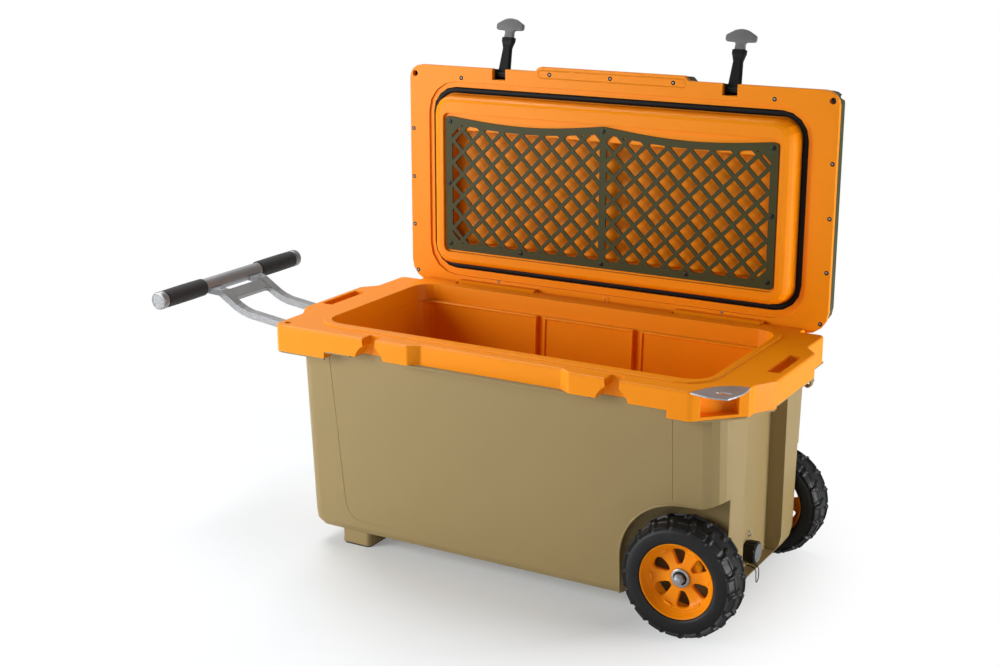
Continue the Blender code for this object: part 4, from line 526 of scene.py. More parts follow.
@dataclass(frozen=True)
class Finish:
    """What every finish has: its colour, and edges that are worn and rounded."""

    name: str
    tone: Tone
    roughness: float
    bump: float = 0.05
    edge: float = 0.0006
    wear_width: float = 2.0
    wear: float = 0.5
    relief: float = 0.0004

    def build(self) -> Material:
        """Make the material.

        Returns:
            The finished material.
        """
        material = bpy.data.materials.new(self.name)
        material.use_nodes = True
        g, shader = Graph(material.node_tree), material.node_tree.nodes["Principled BSDF"]
        worn = g.group("worn_edges", Width=self.edge * self.wear_width, Round=self.edge)
        inputs = self.surface(g, g.times(worn["Wear"], self.wear))
        bump = g.node("Bump", Strength=self.bump, Distance=self.relief, Height=inputs.pop("Height"),
                      Normal=worn["Normal"])
        g.fill(shader, Normal=bump.outputs[0], **inputs)
        return material

    def surface(self, g: Graph, worn: Socket) -> dict[str, object]:
        """Main shader's inputs, and the height of the bump."""
        raise NotImplementedError

    def shaded(self, g: Graph, shade: Socket) -> Socket:
        """Colour times a value."""
        return g.vector("SCALE", i0=self.tone.value, Scale=shade).outputs[0]


@dataclass(frozen=True)
class Moulded(Finish):
    """A moulded plastic or rubber finish."""

    bump: float = 0.12
    edge: float = 0.0008
    wear_width: float = 1.6
    wear: float = 0.25
    relief: float = 0.0006
    grain: float = 900.0
    depth: float = 1.0
    mottle: float = 0.08
    rub: float = 0.15
    dust: float = 0.006
    sheen: float = 0.0
    specular: float = 0.3
    dust_tone: tuple = (0.55, 0.52, 0.47, 1.0)

    def surface(self, g: Graph, worn: Socket) -> dict[str, object]:
        """Moulded skin, paler where it is worn, under settled dust.

        Args:
            g: The material's graph.
            worn: Share of wear.

        Returns:
            The main shader's inputs and the height.
        """
        skin = g.group("moulded_surface", Grain=self.grain, Depth=self.depth, Mottle=self.mottle, Rub=self.rub)
        dust = g.group("settled_dust", Amount=self.dust)["Mask"]
        colour = g.mix(worn, self.shaded(g, skin["Tone"]), self.tone.lighter(1.25, 0.03))
        rough = g.add(g.add(skin["Gloss"], self.roughness), g.times(dust, 0.5), True)
        return {"Base_Color": g.mix(dust, colour, self.dust_tone), "Roughness": rough, "Height": skin["Height"],
                "Sheen_Weight": self.sheen, "Specular_IOR_Level": self.specular}


@dataclass(frozen=True)
class Metal(Finish):
    """A bare or powder-coated metal finish."""

    brushed: float = 0.0
    cast: float = 0.0
    metallic: float = 0.5

    def surface(self, g: Graph, worn: Socket) -> dict[str, object]:
        """Drawn lines and cast pits, brighter where it is worn.

        Args:
            g: The material's graph.
            worn: Share of wear.

        Returns:
            The main shader's inputs and the height.
        """
        where = g.here()
        drawn = g.node("Mapping", Vector=where, Scale=(14.0, 900.0, 900.0)).outputs[0]
        lines, pits = g.noise(drawn, 1.0, 3.0, 0.6), g.noise(where, 420.0, 3.0, 0.6)
        cloud = g.noise(where, 26.0, 3.0, 0.55)
        shade = g.ramp(g.add(g.times(lines, self.brushed), g.times(cloud, 0.6)), 0.2, 1.1, (0.82, 1.12))
        rough = g.add(self.roughness, g.times(g.math("SUBTRACT", cloud, 0.5), 0.25))
        rough = g.add(rough, g.times(g.math("SUBTRACT", lines, 0.5), self.brushed * 0.2), True)
        height = g.add(g.times(lines, self.brushed), g.times(pits, self.cast))
        return {"Base_Color": g.mix(worn, self.shaded(g, shade), self.tone.lighter(1.5)), "Roughness": rough,
                "Height": height, "Metallic": self.metallic}


class Finishes:
    """Every finish of the cooler, and which node takes which."""

    STYLES = (
        Moulded("orange_plastic", Tone.ORANGE, 0.38, bump=0.06, mottle=0.04, wear=0.12, dust=0.003, edge=0.0016,
                specular=0.16),
        Moulded("tan_plastic", Tone.TAN, 0.42, grain=800.0, bump=0.08, mottle=0.05, wear=0.16, edge=0.002,
                specular=0.22),
        Moulded("olive_plastic", Tone.OLIVE, 0.46, grain=700.0, specular=0.16),
        Moulded("tyre_rubber", Tone.TYRE, 0.44, grain=420.0, mottle=0.16, dust=0.012, edge=0.0006, specular=0.28),
        Moulded("black_rubber", Tone.RUBBER, 0.50, grain=520.0, bump=0.10, mottle=0.12, dust=0.002, edge=0.0005,
                specular=0.12),
        Moulded("black_plastic", Tone.BLACK, 0.34, bump=0.06, dust=0.004, edge=0.0005),
        Moulded("grey_plastic", Tone.GREY, 0.48, bump=0.03, mottle=0.05),
        Moulded("grip_foam", Tone.FOAM, 0.86, grain=1500.0, depth=1.6, bump=0.45, mottle=0.22, dust=0.02,
                sheen=0.08, specular=0.5),
        Metal("cast_metal", Tone.CAST, 0.40, cast=1.0, metallic=0.4, bump=0.04),
        Metal("steel", Tone.STEEL, 0.34, brushed=0.6, cast=0.2),
    )

    def __init__(self) -> None:
        """Build the shared groups, then each material."""
        moulded_group()
        edge_group()
        dust_group()
        self.by_slot = {style.name: style.build() for style in self.STYLES}

    def dress_nodes(self) -> None:
        """Give each CAD node the finish of its material slot."""
        for part in frame["record"]["subparts"]:
            node = frame["nodes"][part["node"]]
            finish = self.by_slot[part["material_slot"]]
            node.data.materials.clear()
            node.data.materials.append(finish)
            LOG.info("%s: %s", part["node"], finish.name)


# ---- pieces ----

@dataclass
class Assembly:
    """What the sub-assemblies share: the finishes and the making of a piece."""

    finishes: dict[str, Material]

    def pieces(self) -> Iterator[tuple]:
        """What make takes, for each piece."""
        raise NotImplementedError

    def build(self) -> None:
        """Make every piece."""
        for row in self.pieces():
            self.make(*row)

    def make(self, name: str, shape: Shape, body: str, slot: str, smooth: float = 35.0,
             node: str = "") -> bpy.types.Object:
        """Put a worked-out shape into a mesh that rides on a body.

        Args:
            name: Name of the piece.
            shape: Its points in the cooler's own frame, and its faces.
            body: The body that carries it.
            slot: The record's material slot that it takes its finish from.
            smooth: Angle in degrees up to which neighbouring faces shade as one.
            node: The CAD node that it replaces, if any.

        Returns:
            The new object.
        """
        points, faces = shape
        mesh = bpy.data.meshes.new(name)
        mesh.from_pydata((points + CENTRE).tolist(), [], [list(map(int, face)) for face in faces])
        mesh.validate()
        mesh.polygons.foreach_set("use_smooth", np.ones(len(mesh.polygons), bool))
        mesh.set_sharp_from_angle(angle=math.radians(smooth))
        mesh.materials.append(self.finishes[slot])
        mesh.update()
        piece = bpy.data.objects.new(name, mesh)
        bpy.context.scene.collection.objects.link(piece)
        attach(piece, body)
        if node:
            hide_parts(node)
        LOG.info("%s: %d faces on %s", name, len(mesh.polygons), body)
        return piece


# ---- wheels ----

@dataclass
class Wheels(Assembly):
    """Knobbly tyres on six-spoke hubs, one pair at the tub's end. Profiles are radius and distance."""

    radius: float = 0.10380
    half_width: float = 0.0345
    lugs: int = 18
    lug_steps: int = 20
    lug_depth: float = 0.0052
    block: tuple = ((0.15, 0.97), (0.285, 0.555))  # shares of a pitch, and of the way from crown to bead
    strips: tuple = ((0.285, 0.330), (0.500, 0.555))
    end_strip: Pair = (0.80, 0.97)
    bar: tuple = ((0.40, 0.62), (0.060, 0.300))
    band: float = 0.235
    wall_lines: tuple = ((0.14, 0.66), (0.12, 0.94))  # height and place
    section_steps: int = 40
    half_section: tuple = (  # offset and radius
        (0.0300, 0.0658), (0.0322, 0.0672), (0.0335, 0.0705), (0.0341, 0.0760), (0.0340, 0.0815),
        (0.0332, 0.0862), (0.0318, 0.0905), (0.0292, 0.0945), (0.0252, 0.0968), (0.0190, 0.0980),
        (0.0095, 0.0986), (0.0, 0.0988),
    )
    bore: tuple = ((-0.0285, 0.0655), (-0.0140, 0.0700), (0.0140, 0.0700), (0.0285, 0.0655))
    dish_radii: tuple = (0.0, 0.0205, 0.0240, 0.0300, 0.0380, 0.0450, 0.0500, 0.0540, 0.0580, 0.0615, 0.0640)
    dish_heights: tuple = (0.0105, 0.0105, 0.0098, 0.0088, 0.0082, 0.0092, 0.0120, 0.0158, 0.0208, 0.0262,
                           0.0300)
    wall: float = 0.0075
    first_spoke: float = math.radians(37)
    spider: Pair = (0.0200, 0.0565)
    window: Pair = (0.0232, 0.0518)
    window_half_widths: Pair = (0.0044, 0.0134)
    window_power: float = 0.55
    window_edge: float = 0.0016
    ring_foot: Pair = (0.0550, 0.0564)
    ring: tuple = (
        (0.0580, 0.0208), (0.0600, 0.0239), (0.0615, 0.0262), (0.0628, 0.0287), (0.0637, 0.0302),
        (0.0648, 0.0308), (0.0658, 0.0303), (0.0662, 0.0290), (0.0662, -0.0255), (0.0625, -0.0255),
        (0.0625, 0.0090), (0.0600, 0.0100),
    )
    boss: tuple = ((0.0068, -0.0435), (0.0160, -0.0435), (0.0160, 0.0020), (0.0206, 0.0030), (0.0206, 0.0094),
                   (0.0198, 0.0104), (0.0180, 0.0105), (0.0068, 0.0105))
    pad: tuple = ((-0.0065, -0.0035, 0.0015), (0.0065, -0.0035, 0.0015), (0.0085, 0.0035, 0.0020),
                  (-0.0085, 0.0035, 0.0020))
    pad_place: Pair = (0.0530, 0.0128)
    pad_height: float = 0.0032
    pad_edge: float = 0.0012
    nut: tuple = (
        ((0.0158, 0.2155), (0.0163, 0.2164), (0.0155, 0.2171), (0.0126, 0.2176), (0.0112, 0.2170),
         (0.0108, 0.2160)),
        ((0.0079, 0.2240), (0.0079, 0.2251), (0.0070, 0.2260), (0.0060, 0.2261)),
        ((0.0056, 0.2262), (0.0056, 0.2274), (0.0046, 0.2281), (0.0020, 0.2283)),
    )
    # middle of the black ring of painted shade at the washer's inner edge: radius and distance
    seal: Pair = (0.0106, 0.2177)

    def pieces(self) -> Iterator[tuple]:
        """Tyre, hub, pads and nut of each wheel, and a black ring of painted shade at the washer's inner edge.

        Yields:
            What make takes.
        """
        for side, place in SIDES:
            wheel = f"wheel_{place}"
            yield f"tread_tyre_{place}", mirrored(self.tyre(), side), wheel, "tyre_rubber", 40.0, f"tyre_{place}"
            yield f"dished_hub_{place}", self.hub(side), wheel, "orange_plastic", 50.0, f"hub_{place}"
            yield f"spoke_pads_{place}", self.spoke_pads(side), wheel, "orange_plastic"
            nut = stacked([self.turned(line, 36, side) for line in self.nut])
            yield f"axle_nut_{place}", nut, "tub", "steel"
            # black ring of painted shade where the washer's inner edge meets the axle
            circle = [(self.seal[0] + out, self.seal[1] + up) for out, up in oval(0.0013, 0.0009)]
            yield f"dust_ring_{place}", self.turned(circle, 40, side, True), "tub", "black_rubber"

    @staticmethod
    def turned(profile: Sequence[Pair], steps: int, side: int, closed: bool = False) -> Shape:
        """Profile turned about the axle on one side, its distances counted from the middle."""
        return mirrored(lathe(profile, steps, (WHEEL[0], 0.0, WHEEL[2]), 1, closed), side)

    def section(self) -> tuple[Points, Points, Points]:
        """Tyre section as offset, radius and place along the tread, from one bead to the other.

        The half section is walked at even steps of length and mirrored.

        Returns:
            Offsets, radii and signed share across the width, each of one length.
        """
        half = np.array(self.half_section)
        length = np.concatenate([[0], np.cumsum(np.linalg.norm(np.diff(half, axis=0), axis=1))])
        even = np.linspace(0, length[-1], self.section_steps + 1)
        y, r = np.interp(even, length, half[:, 0]), np.interp(even, length, half[:, 1])
        smooth = np.convolve(np.pad(r, 1, mode="edge"), [0.25, 0.5, 0.25], "valid")
        place = (even[-1] - even) / even[-1]
        return tuple(np.concatenate([row, sign * row[-2::-1]])
                     for row, sign in ((y, -1), (smooth, 1), (place, -1)))

    @staticmethod
    def beyond(value: Points, at: float, steep: float) -> Points:
        """Soft step from 0 to 1 at a value."""
        return 1 / (1 + np.exp((at - value) * steep))

    def within(self, value: Points, ends: Pair, steep: float) -> Points:
        """1 between two values and 0 outside them, with soft edges."""
        return self.beyond(value, ends[0], steep) * (1 - self.beyond(value, ends[1], steep))

    def lug_height(self, angle: Points, place: Points) -> Points:
        """Height of the tread, 0 in the slots and 1 on the narrow crown bars.

        A band runs round the crown and carries one narrow bar to each pitch. Each shoulder has one
        framed block to each pitch: a raised strip along its two long sides and one end, with a
        lower middle, and a slot before the next. The two sides are half a pitch out of step.

        Args:
            angle: Angles round the tyre.
            place: Shares across the tread, -1 to 1 from bead to bead.

        Returns:
            Heights for each pair.
        """
        far = np.abs(place)
        pitch = (angle / (FULL_TURN / self.lugs) + np.where(place > 0, 0.0, 0.5) + far * 0.25) % 1.0
        cell = self.within(pitch, self.block[0], 70) * self.within(far, self.block[1], 160)
        strips = np.maximum(*(self.within(far, ends, 160) for ends in self.strips))
        strips = np.maximum(strips, self.within(pitch, self.end_strip, 70))
        block = cell * (0.30 + 0.50 * strips)
        band = 0.10 * (1 - self.beyond(far, self.band, 120))
        bar = self.within((pitch + 0.5) % 1.0, self.bar[0], 60) * self.within(far, self.bar[1], 120)
        lines = sum(high * np.exp(-((far - at) / 0.010) ** 2) for high, at in self.wall_lines)
        return np.maximum(np.maximum(block, band), bar) + lines

    def tyre(self) -> Shape:
        """Tyre of the +Y side: its section carried round the axle, pushed out by the blocks along its normal.

        Returns:
            Points and faces, closed through the bore.
        """
        offsets, radii, place = self.section()
        count = self.lugs * self.lug_steps
        t = turn(count)[:, None]
        dy, dr = np.gradient(offsets), np.gradient(radii)
        size = np.hypot(dy, dr)
        rise = self.lug_height(t, place[None, :]) * self.lug_depth
        r = np.minimum(radii - dy / size * rise, self.radius)
        y = np.clip(offsets + dr / size * rise, -self.half_width, self.half_width)
        y, r = (np.concatenate([row, np.broadcast_to(end, (count, len(end)))], 1)
                for row, end in zip((y, r), np.array(self.bore).T))
        points = np.stack([WHEEL[0] + r * np.cos(t), WHEEL[1] + y, WHEEL[2] + r * np.sin(t)], -1)
        return points.reshape(-1, 3), grid_faces(*y.shape, True)

    @staticmethod
    def placed(r: Points, angle: Points, y: Points, side: int) -> Points:
        """Points at a radius, an angle and a height over the wheel's middle plane, for either side."""
        rows = [WHEEL[0] + r * np.cos(angle), side * (WHEEL[1] + y), WHEEL[2] - side * r * np.sin(angle)]
        return np.stack(rows, -1).reshape(-1, 3)

    def dish(self, r: Points) -> Points:
        """Height of the hub's face over the wheel's middle plane at a radius, a smooth bowl."""
        return np.interp(r, self.dish_radii, self.dish_heights)

    def spoke_pads(self, side: int) -> Shape:
        """Raised pads at the outer ends of the six spokes, each a rounded bar on the dish.

        Args:
            side: -1 for the wheel on the latch side, 1 for the other.

        Returns:
            Points and faces.
        """
        t, edge = np.linspace(0, math.pi / 2, 4), self.pad_edge
        inward, up = edge * (1 - np.cos(t)), self.pad_height - edge * (1 - np.sin(t))
        rows, faces = lofted(rounded_outline(self.pad, 4), np.append(0.0, inward), np.append(0.0, up))
        faces, (out, lift) = flipped(faces), self.pad_place
        x, y, z = rows[:, 0], out + rows[:, 1], lift + rows[:, 2]
        angle = self.first_spoke + math.pi / 6 + np.arctan2(x, y)
        return stacked([(self.placed(np.hypot(x, y), angle + k * math.pi / 3, z, side), faces) for k in range(6)])

    def hub(self, side: int) -> Shape:
        """Dished hub: a spider with six rounded windows, a rim ring and an axle boss.

        The spider is lofted in radius and angle from each window's outline to its sixth of the
        disc, on the dish's height, then the same with the wall's thickness taken off behind.

        Args:
            side: -1 for the wheel on the latch side, 1 for the other.

        Returns:
            Points and faces of the three closed forms.
        """
        half_sixth, (low, high), (near, far), power = math.pi / 6, self.spider, self.window, self.window_power
        s = turn(64)
        c, d = np.cos(s), np.sin(s)
        square = np.maximum(np.abs(c), np.abs(d))
        edge_r, edge_a = (low + high) / 2 + (high - low) / 2 * c / square, half_sixth * d / square
        window_r = (near + far) / 2 + (far - near) / 2 * np.sign(c) * np.abs(c) ** power
        half = np.interp(window_r, self.window, self.window_half_widths)
        window_a = half * np.sign(d) * np.abs(d) ** power / window_r
        t = np.array([0.0, 0.03, 0.08, 0.16, 0.3, 0.5, 0.75, 1.0])[:, None]
        r, a = window_r + (edge_r - window_r) * t, window_a + (edge_a - window_a) * t
        front = self.dish(r) - self.window_edge * np.maximum(0, 1 - t / 0.16) ** 2
        back = self.dish(r) - self.wall
        r, a, y = (np.concatenate([ahead, behind[::-1]]) for ahead, behind in ((r, r), (a, a), (front, back)))
        faces = grid_faces(len(r), len(s), True)
        parts = [(self.placed(r, a + self.first_spoke + k * 2 * half_sixth, y, side), faces) for k in range(6)]
        foot, lip = self.ring_foot
        start = [(foot, self.dish(foot) - self.wall), (foot, self.dish(foot) - 0.0010), (lip, self.dish(lip))]
        for line, around in (((start + list(self.ring))[::-1], 96), (self.boss, 40)):
            line = [(radius, WHEEL[1] + height) for radius, height in line]
            parts.append(self.turned(line, around, side, True))
        return stacked(parts)


# ---- lid ----

@dataclass
class LidTrim(Assembly):
    """Screws, seal and cargo-panel fastenings on the lid's inner side, worked out with the lid shut."""

    plane: float = 0.4294
    panel_face: float = 0.4054
    flange_screws: tuple = (
        (0.4352, -0.0960), (0.4352, 0.0015), (0.4352, 0.0994), (0.4286, 0.1946), (0.3232, -0.2024),
        (0.1278, -0.2195), (0.2387, 0.1973),
    )
    lip_screw: Pair = (0.0, -0.2195)
    panel_screws: tuple = ((0.3345, -0.1200), (0.3347, 0.1240), (0.3370, 0.0025), (0.1750, 0.1275))
    middle_screws: tuple = ((0.0, 0.1285), (0.0, -0.1243))
    flange_head: Pair = (0.0017, 0.00024)  # radius and height
    panel_head: Pair = (0.0042, 0.0019)
    boss_head: Pair = (0.0080, 0.00022)
    head: tuple = ((0.62, 0.0), (1.0, 0.0), (1.0, 0.45), (0.86, 0.85), (0.62, 1.0), (0.42, 1.0), (0.40, 0.35),
                   (0.10, 0.30))  # shares of radius and height
    # black rings of painted shade round the flange screws, for the shaded walls of their sunk holes
    seat_bore: float = 0.0016
    seat_height: float = 0.00012
    seat_radii: Pair = (0.0042, 0.0026)
    hinge_edge: float = 0.196
    seal_box: tuple = (0.3828, -0.1778, 0.1753, 0.0440)
    seal_radius: float = 0.0056
    seal_lift: float = 0.0071
    lip_box: tuple = (0.1520, -0.2268, -0.2122, 0.0065)

    def pieces(self) -> Iterator[tuple]:
        """Each small part of the lid, opened with it.

        Yields:
            What make takes.
        """
        flange = self.both_ways(self.flange_screws) + [self.lip_screw]
        panel = self.both_ways(self.panel_screws) + list(self.middle_screws)
        line = along_outline(rounded_box(*self.lip_box, 10), oval(0.0012, 0.00022), self.plane)
        for name, (points, faces), *rest in (
            ("lid_screws", self.heads(flange, self.plane, *self.flange_head), "steel"),
            # black rings of painted shade round the flange screws
            ("lid_screw_seats", self.seats(flange), "black_plastic"),
            ("panel_screws", self.heads(panel, self.panel_face, *self.panel_head), "black_plastic"),
            ("lid_seal", self.seal(), "black_rubber", 60.0, "lid_gasket"),
            ("lip_bead", line, "orange_plastic", 60.0),
            ("moulding_boss", self.heads([(0.0, 0.204)], self.plane, *self.boss_head), "orange_plastic"),
        ):
            yield name, (open_lid(points), faces), "lid", *rest

    @staticmethod
    def both_ways(spots: Sequence[Pair]) -> list[Pair]:
        """Each spot on the left and on the right."""
        return [(side * x, y) for x, y in spots for side in (-1, 1)]

    def heads(self, spots: Sequence[Pair], face: float, radius: float, height: float) -> Shape:
        """Pan heads with a sunk drive, turned about Z and facing down from the closed lid.

        Args:
            spots: Places of the heads, x and y of the closed lid.
            face: Height of the face that they stand on.
            radius: Radius of a head.
            height: How far a head stands out.

        Returns:
            Points and faces of all heads.
        """
        profile = [(radius * out, -height * up) for out, up in self.head]
        points, faces = stacked([lathe(profile, 14, (x, y, face), 2) for x, y in spots])
        return points, flipped(faces)

    def seats(self, spots: Sequence[Pair]) -> Shape:
        """Thin black rings of painted shade round the screws, for the shaded walls of their sunk holes, turned
        about each screw, smaller beside the hinge.

        Args:
            spots: Places of the screws, x and y of the closed lid.

        Returns:
            Points and faces of all rings.
        """
        parts, bore, low = [], self.seat_bore, -self.seat_height
        for x, y in spots:
            outer = self.seat_radii[int(y >= self.hinge_edge)]
            profile = [(bore, 0.0), (bore, low), (outer - 0.0002, low), (outer, 0.0)]
            parts.append(lathe(profile, 18, (x, y, self.plane), 2, True))
        return stacked(parts)

    def seal(self) -> Shape:
        """Round-bellied seal: a D-shaped section carried round a rounded rectangle.

        Returns:
            Points and faces.
        """
        r = self.seal_radius
        belly = [(r * math.cos(a), -0.0012 - 0.0028 * math.sin(a)) for a in np.linspace(0, math.pi, 11)]
        section = ([(r, 0.0)] + belly + [(-r, 0.0)])[::-1]
        return along_outline(rounded_box(*self.seal_box, 14), section, self.plane + self.seal_lift)


# ---- latches ----

@dataclass
class Latches(Assembly):
    """Moulded T handles on their rubber straps."""

    neck: float = 0.0735
    half_outline: tuple = (  # x, distance past the neck and corner radius
        (0.0104, -0.0020, 0.0030), (0.0086, 0.0138, 0.0045), (0.0295, 0.0146, 0.0044), (0.0295, 0.0262, 0.0046),
        (0.01298, 0.0356, 0.008), (0.00354, 0.0376, 0.010),
    )
    half_thickness: float = 0.00475
    rounding: float = 0.0026

    def pieces(self) -> Iterator[tuple]:
        """Both grips, thrown back with the lid open.

        Yields:
            What make takes.
        """
        rows, faces = self.grip()
        for side, place in ((-1, "left"), (1, "right")):
            points = swung_latch(rows + np.array([side * LATCH_X, -LATCH_PIVOT[0], LATCH_PIVOT[1]]))
            body = f"latch_{place}"
            yield f"{body}_grip", (points, faces), body, "grey_plastic", 50.0, f"{body}_head"

    def grip(self) -> Shape:
        """Mushroom outline lofted through its thickness, drawn in towards both faces by a quarter-round.

        Returns:
            Points and faces about the latch's pin, hanging down.
        """
        right = [(x, -self.neck - y, r) for x, y, r in self.half_outline]
        outline = rounded_outline(right + [(-x, y, r) for x, y, r in right[::-1]], 5)[::-1]
        angle = np.linspace(-math.pi / 2, math.pi / 2, 9)
        depth = (self.half_thickness - self.rounding) * np.sign(angle) + self.rounding * np.sin(angle)
        points, faces = lofted(outline, self.rounding * (1 - np.cos(angle)), depth)
        return points[:, [0, 2, 1]], flipped(faces)


# ---- tub ----

def tub_front(z: Points) -> Points:
    """Depth of the tub's front face at a height, on its straight draft."""
    return -np.interp(z, (0.0290, 0.3927), (0.1780, 0.2010))


@dataclass
class TubTrim(Assembly):
    """Small mouldings of the tub: its lip, arch rolls, panel ridges, hooks, and beads inside."""

    lip_radius: float = 0.0024
    lip_front: float = -0.2252
    skirt: float = 0.3788
    skirt_mid: float = 0.3918
    skirt_end: float = 0.3848
    arch_left: float = 0.2365
    arch_top: float = 0.2200
    arch_radius: float = 0.1180
    roll: float = 0.0024
    ridge: float = 0.0011
    ridges: tuple = (  # x and z
        ((-0.3450, 0.3760), (-0.3300, 0.0900), (-0.3240, 0.0640), (-0.3080, 0.0560), (-0.2300, 0.0540)),
        ((0.3340, 0.3760), (0.3340, 0.2260)),
    )
    hook: tuple = ((0.4560, 0.0800, 0.3800), (0.4580, 0.0800, 0.3725), (0.4635, 0.0800, 0.3690),
                   (0.4690, 0.0800, 0.3725), (0.4700, 0.0800, 0.3850))
    hook_offsets: Triple = (-0.0035, 0.0, 0.0035)
    hook_radius: float = 0.0024
    mouth_box: tuple = (0.3835, -0.1865, 0.1720, 0.0520)
    rim_top: float = 0.4291
    bead: float = 0.0024
    bead_out: float = 0.0010
    ledge: float = 0.3980
    ledge_corner: float = 0.030
    ledge_bend: float = 0.345
    divider_gap: Pair = (0.0905, 0.1145)
    divider_edges: tuple = (-0.1125, -0.0925, 0.0925, 0.1125)
    wall_draft: float = 0.014 / 0.340
    long_walls: tuple = ((1, 0.158), (-1, 0.160))
    eye_centre: Triple = (0.3925, 0.0100, 0.1085)
    eye_radii: Triple = (0.0062, 0.0052, 0.0010)  # out, up and of the wire

    def pieces(self) -> Iterator[tuple]:
        """Tan trim outside, orange beads inside and the tether's eye.

        Yields:
            What make takes.
        """
        line = along_outline(rounded_box(*self.mouth_box, 16), oval(0.0011, 0.00099), self.rim_top)
        for name, shape, slot in (
            ("tub_lip", self.lip(), "tan_plastic"), ("arch_rolls", self.arch_rolls(), "tan_plastic"),
            ("panel_ridges", self.panel_ridges(), "tan_plastic"), ("side_hooks", self.hooks(), "tan_plastic"),
            ("mouth_bead", line, "orange_plastic"), ("ledge_beads", self.ledge_beads(), "orange_plastic"),
            ("divider_beads", self.divider_beads(), "orange_plastic"), ("tether_eye", self.eye(), "steel"),
        ):
            yield name, shape, "tub", slot, 60.0

    def lip(self) -> Shape:
        """Round lip of the tub under the rim's skirt, tubes along the skirt's lower edge.

        Returns:
            Points and faces.
        """
        front, low, mid, top = self.lip_front, self.skirt, self.skirt_mid, self.skirt_end
        routes = []
        for side, end, corner in ((-1, 0.4360, (0.4473, -0.2160)), (1, 0.3758, (0.4473, -0.1575))):
            for height, line in (
                (mid, ((0.2800, front), (0.3350, front))),
                (low, ((0.3372, front), (end, front), corner, (0.4468, -0.1380), (0.4700, -0.0990))),
                (top, ((0.4704, -0.0960), (0.4704, 0.0840))),
                (low, ((0.4700, 0.0870), (0.4468, 0.1140), (0.4468, 0.2000))),
            ):
                routes.append([(side * x, y, height) for x, y in line])
        routes.append([(-0.1970, front, mid), (0.1970, front, mid)])
        return tubes([softened(evenly(route, 0.003), 6) for route in routes], self.lip_radius, 8)

    def arch_rolls(self) -> Shape:
        """Rolled edges of both wheel arches: an upright, a quarter circle and a flat.

        Returns:
            Points and faces.
        """
        t, r, top = np.linspace(math.pi, math.pi / 2, 40), self.arch_radius, self.arch_top
        arc = np.stack([self.arch_left + r + r * np.cos(t), top - r + r * np.sin(t)], 1)
        upright = np.linspace((self.arch_left, 0.034), (self.arch_left, 0.096), 12)
        x, z = np.concatenate([upright, arc, np.linspace((0.3600, top), (0.3830, top), 6)]).T
        radius = self.roll * np.interp(np.arange(len(x)), [0, 2, 46, 57], [0.5, 1, 1, 0.2])
        routes = [np.stack([x + 0.0004, side * (tub_front(z) - 0.0002), z - 0.0002], 1) for side in (1, -1)]
        return tubes(routes, radius, 10)

    def panel_ridges(self) -> Shape:
        """Thin raised outlines of the front and rear panels, half sunk in the wall.

        Returns:
            Points and faces.
        """
        lines = [softened(evenly([(x, 0.0, z) for x, z in line], 0.006), 10).T for line in self.ridges]
        routes = [np.stack([x, side * (tub_front(z) + 0.0004), z], 1) for x, _, z in lines for side in (1, -1)]
        return tubes(routes, self.ridge, 8)

    def hooks(self) -> Shape:
        """Hooks under the grips, each three bent bars of round section side by side.

        Returns:
            Points and faces.
        """
        rows = softened(evenly(self.hook, 0.0012), 4)
        routes = [rows * [side, 1, 1] + [0.0, offset, 0.0] for side in (-1, 1) for offset in self.hook_offsets]
        return tubes(routes, self.hook_radius, 10)

    def ledge_beads(self) -> Shape:
        """Rounded edge of the ledge inside, tubes between the dividers' channels and into the corners.

        Returns:
            Points and faces.
        """
        parts, corner, high = [], self.ledge_corner, self.ledge
        t, (near, far) = np.radians(np.linspace(90, 25, 9)), self.divider_gap
        for side, wall in self.long_walls:
            wall -= self.bead_out
            middle = np.linspace([-near, side * wall, high], [near, side * wall, high], 12)
            parts.append(tube_along(middle, self.bead, 10))
            bend = np.stack([self.ledge_bend + corner * np.cos(t), side * (wall - corner + corner * np.sin(t)),
                             high + 0 * t], 1)
            route = np.concatenate([np.linspace([far, side * wall, high], bend[0], 12)[:-1], bend])
            radius = np.full(len(route), self.bead)
            radius[-6:] *= np.linspace(0.9, 0.15, 6)
            parts.extend(tube_along(route * [way, 1.0, 1.0], radius, 10) for way in (-1, 1))
        return stacked(parts)

    def divider_beads(self) -> Shape:
        """Raised edges of the dividers' channels, upright tubes that follow the walls' draft.

        Returns:
            Points and faces.
        """
        up = np.array([0.4004, 0.3998, 0.3980, 0.3800, 0.2500, 0.1500, 0.0640])
        radius = self.bead * np.array([0.35, 0.8, 1.0, 1.0, 1.0, 1.0, 1.0])
        draft = self.wall_draft * np.clip(self.ledge - up, 0, None)
        routes = [np.stack([x + 0 * up, side * (wall - self.bead_out - draft), up], 1)
                  for side, wall in self.long_walls for x in self.divider_edges]
        return tubes(routes, radius, 10)

    def eye(self) -> Shape:
        """Wire eye of the drain plug's tether, a half turn that goes into the end wall."""
        t, (out, up, wire) = np.linspace(0, math.pi, 22)[:, None], self.eye_radii
        return tube_along(self.eye_centre + np.hstack([out * np.sin(t), 0 * t, up * np.cos(t)]), wire, 8)


# ---- drain ----

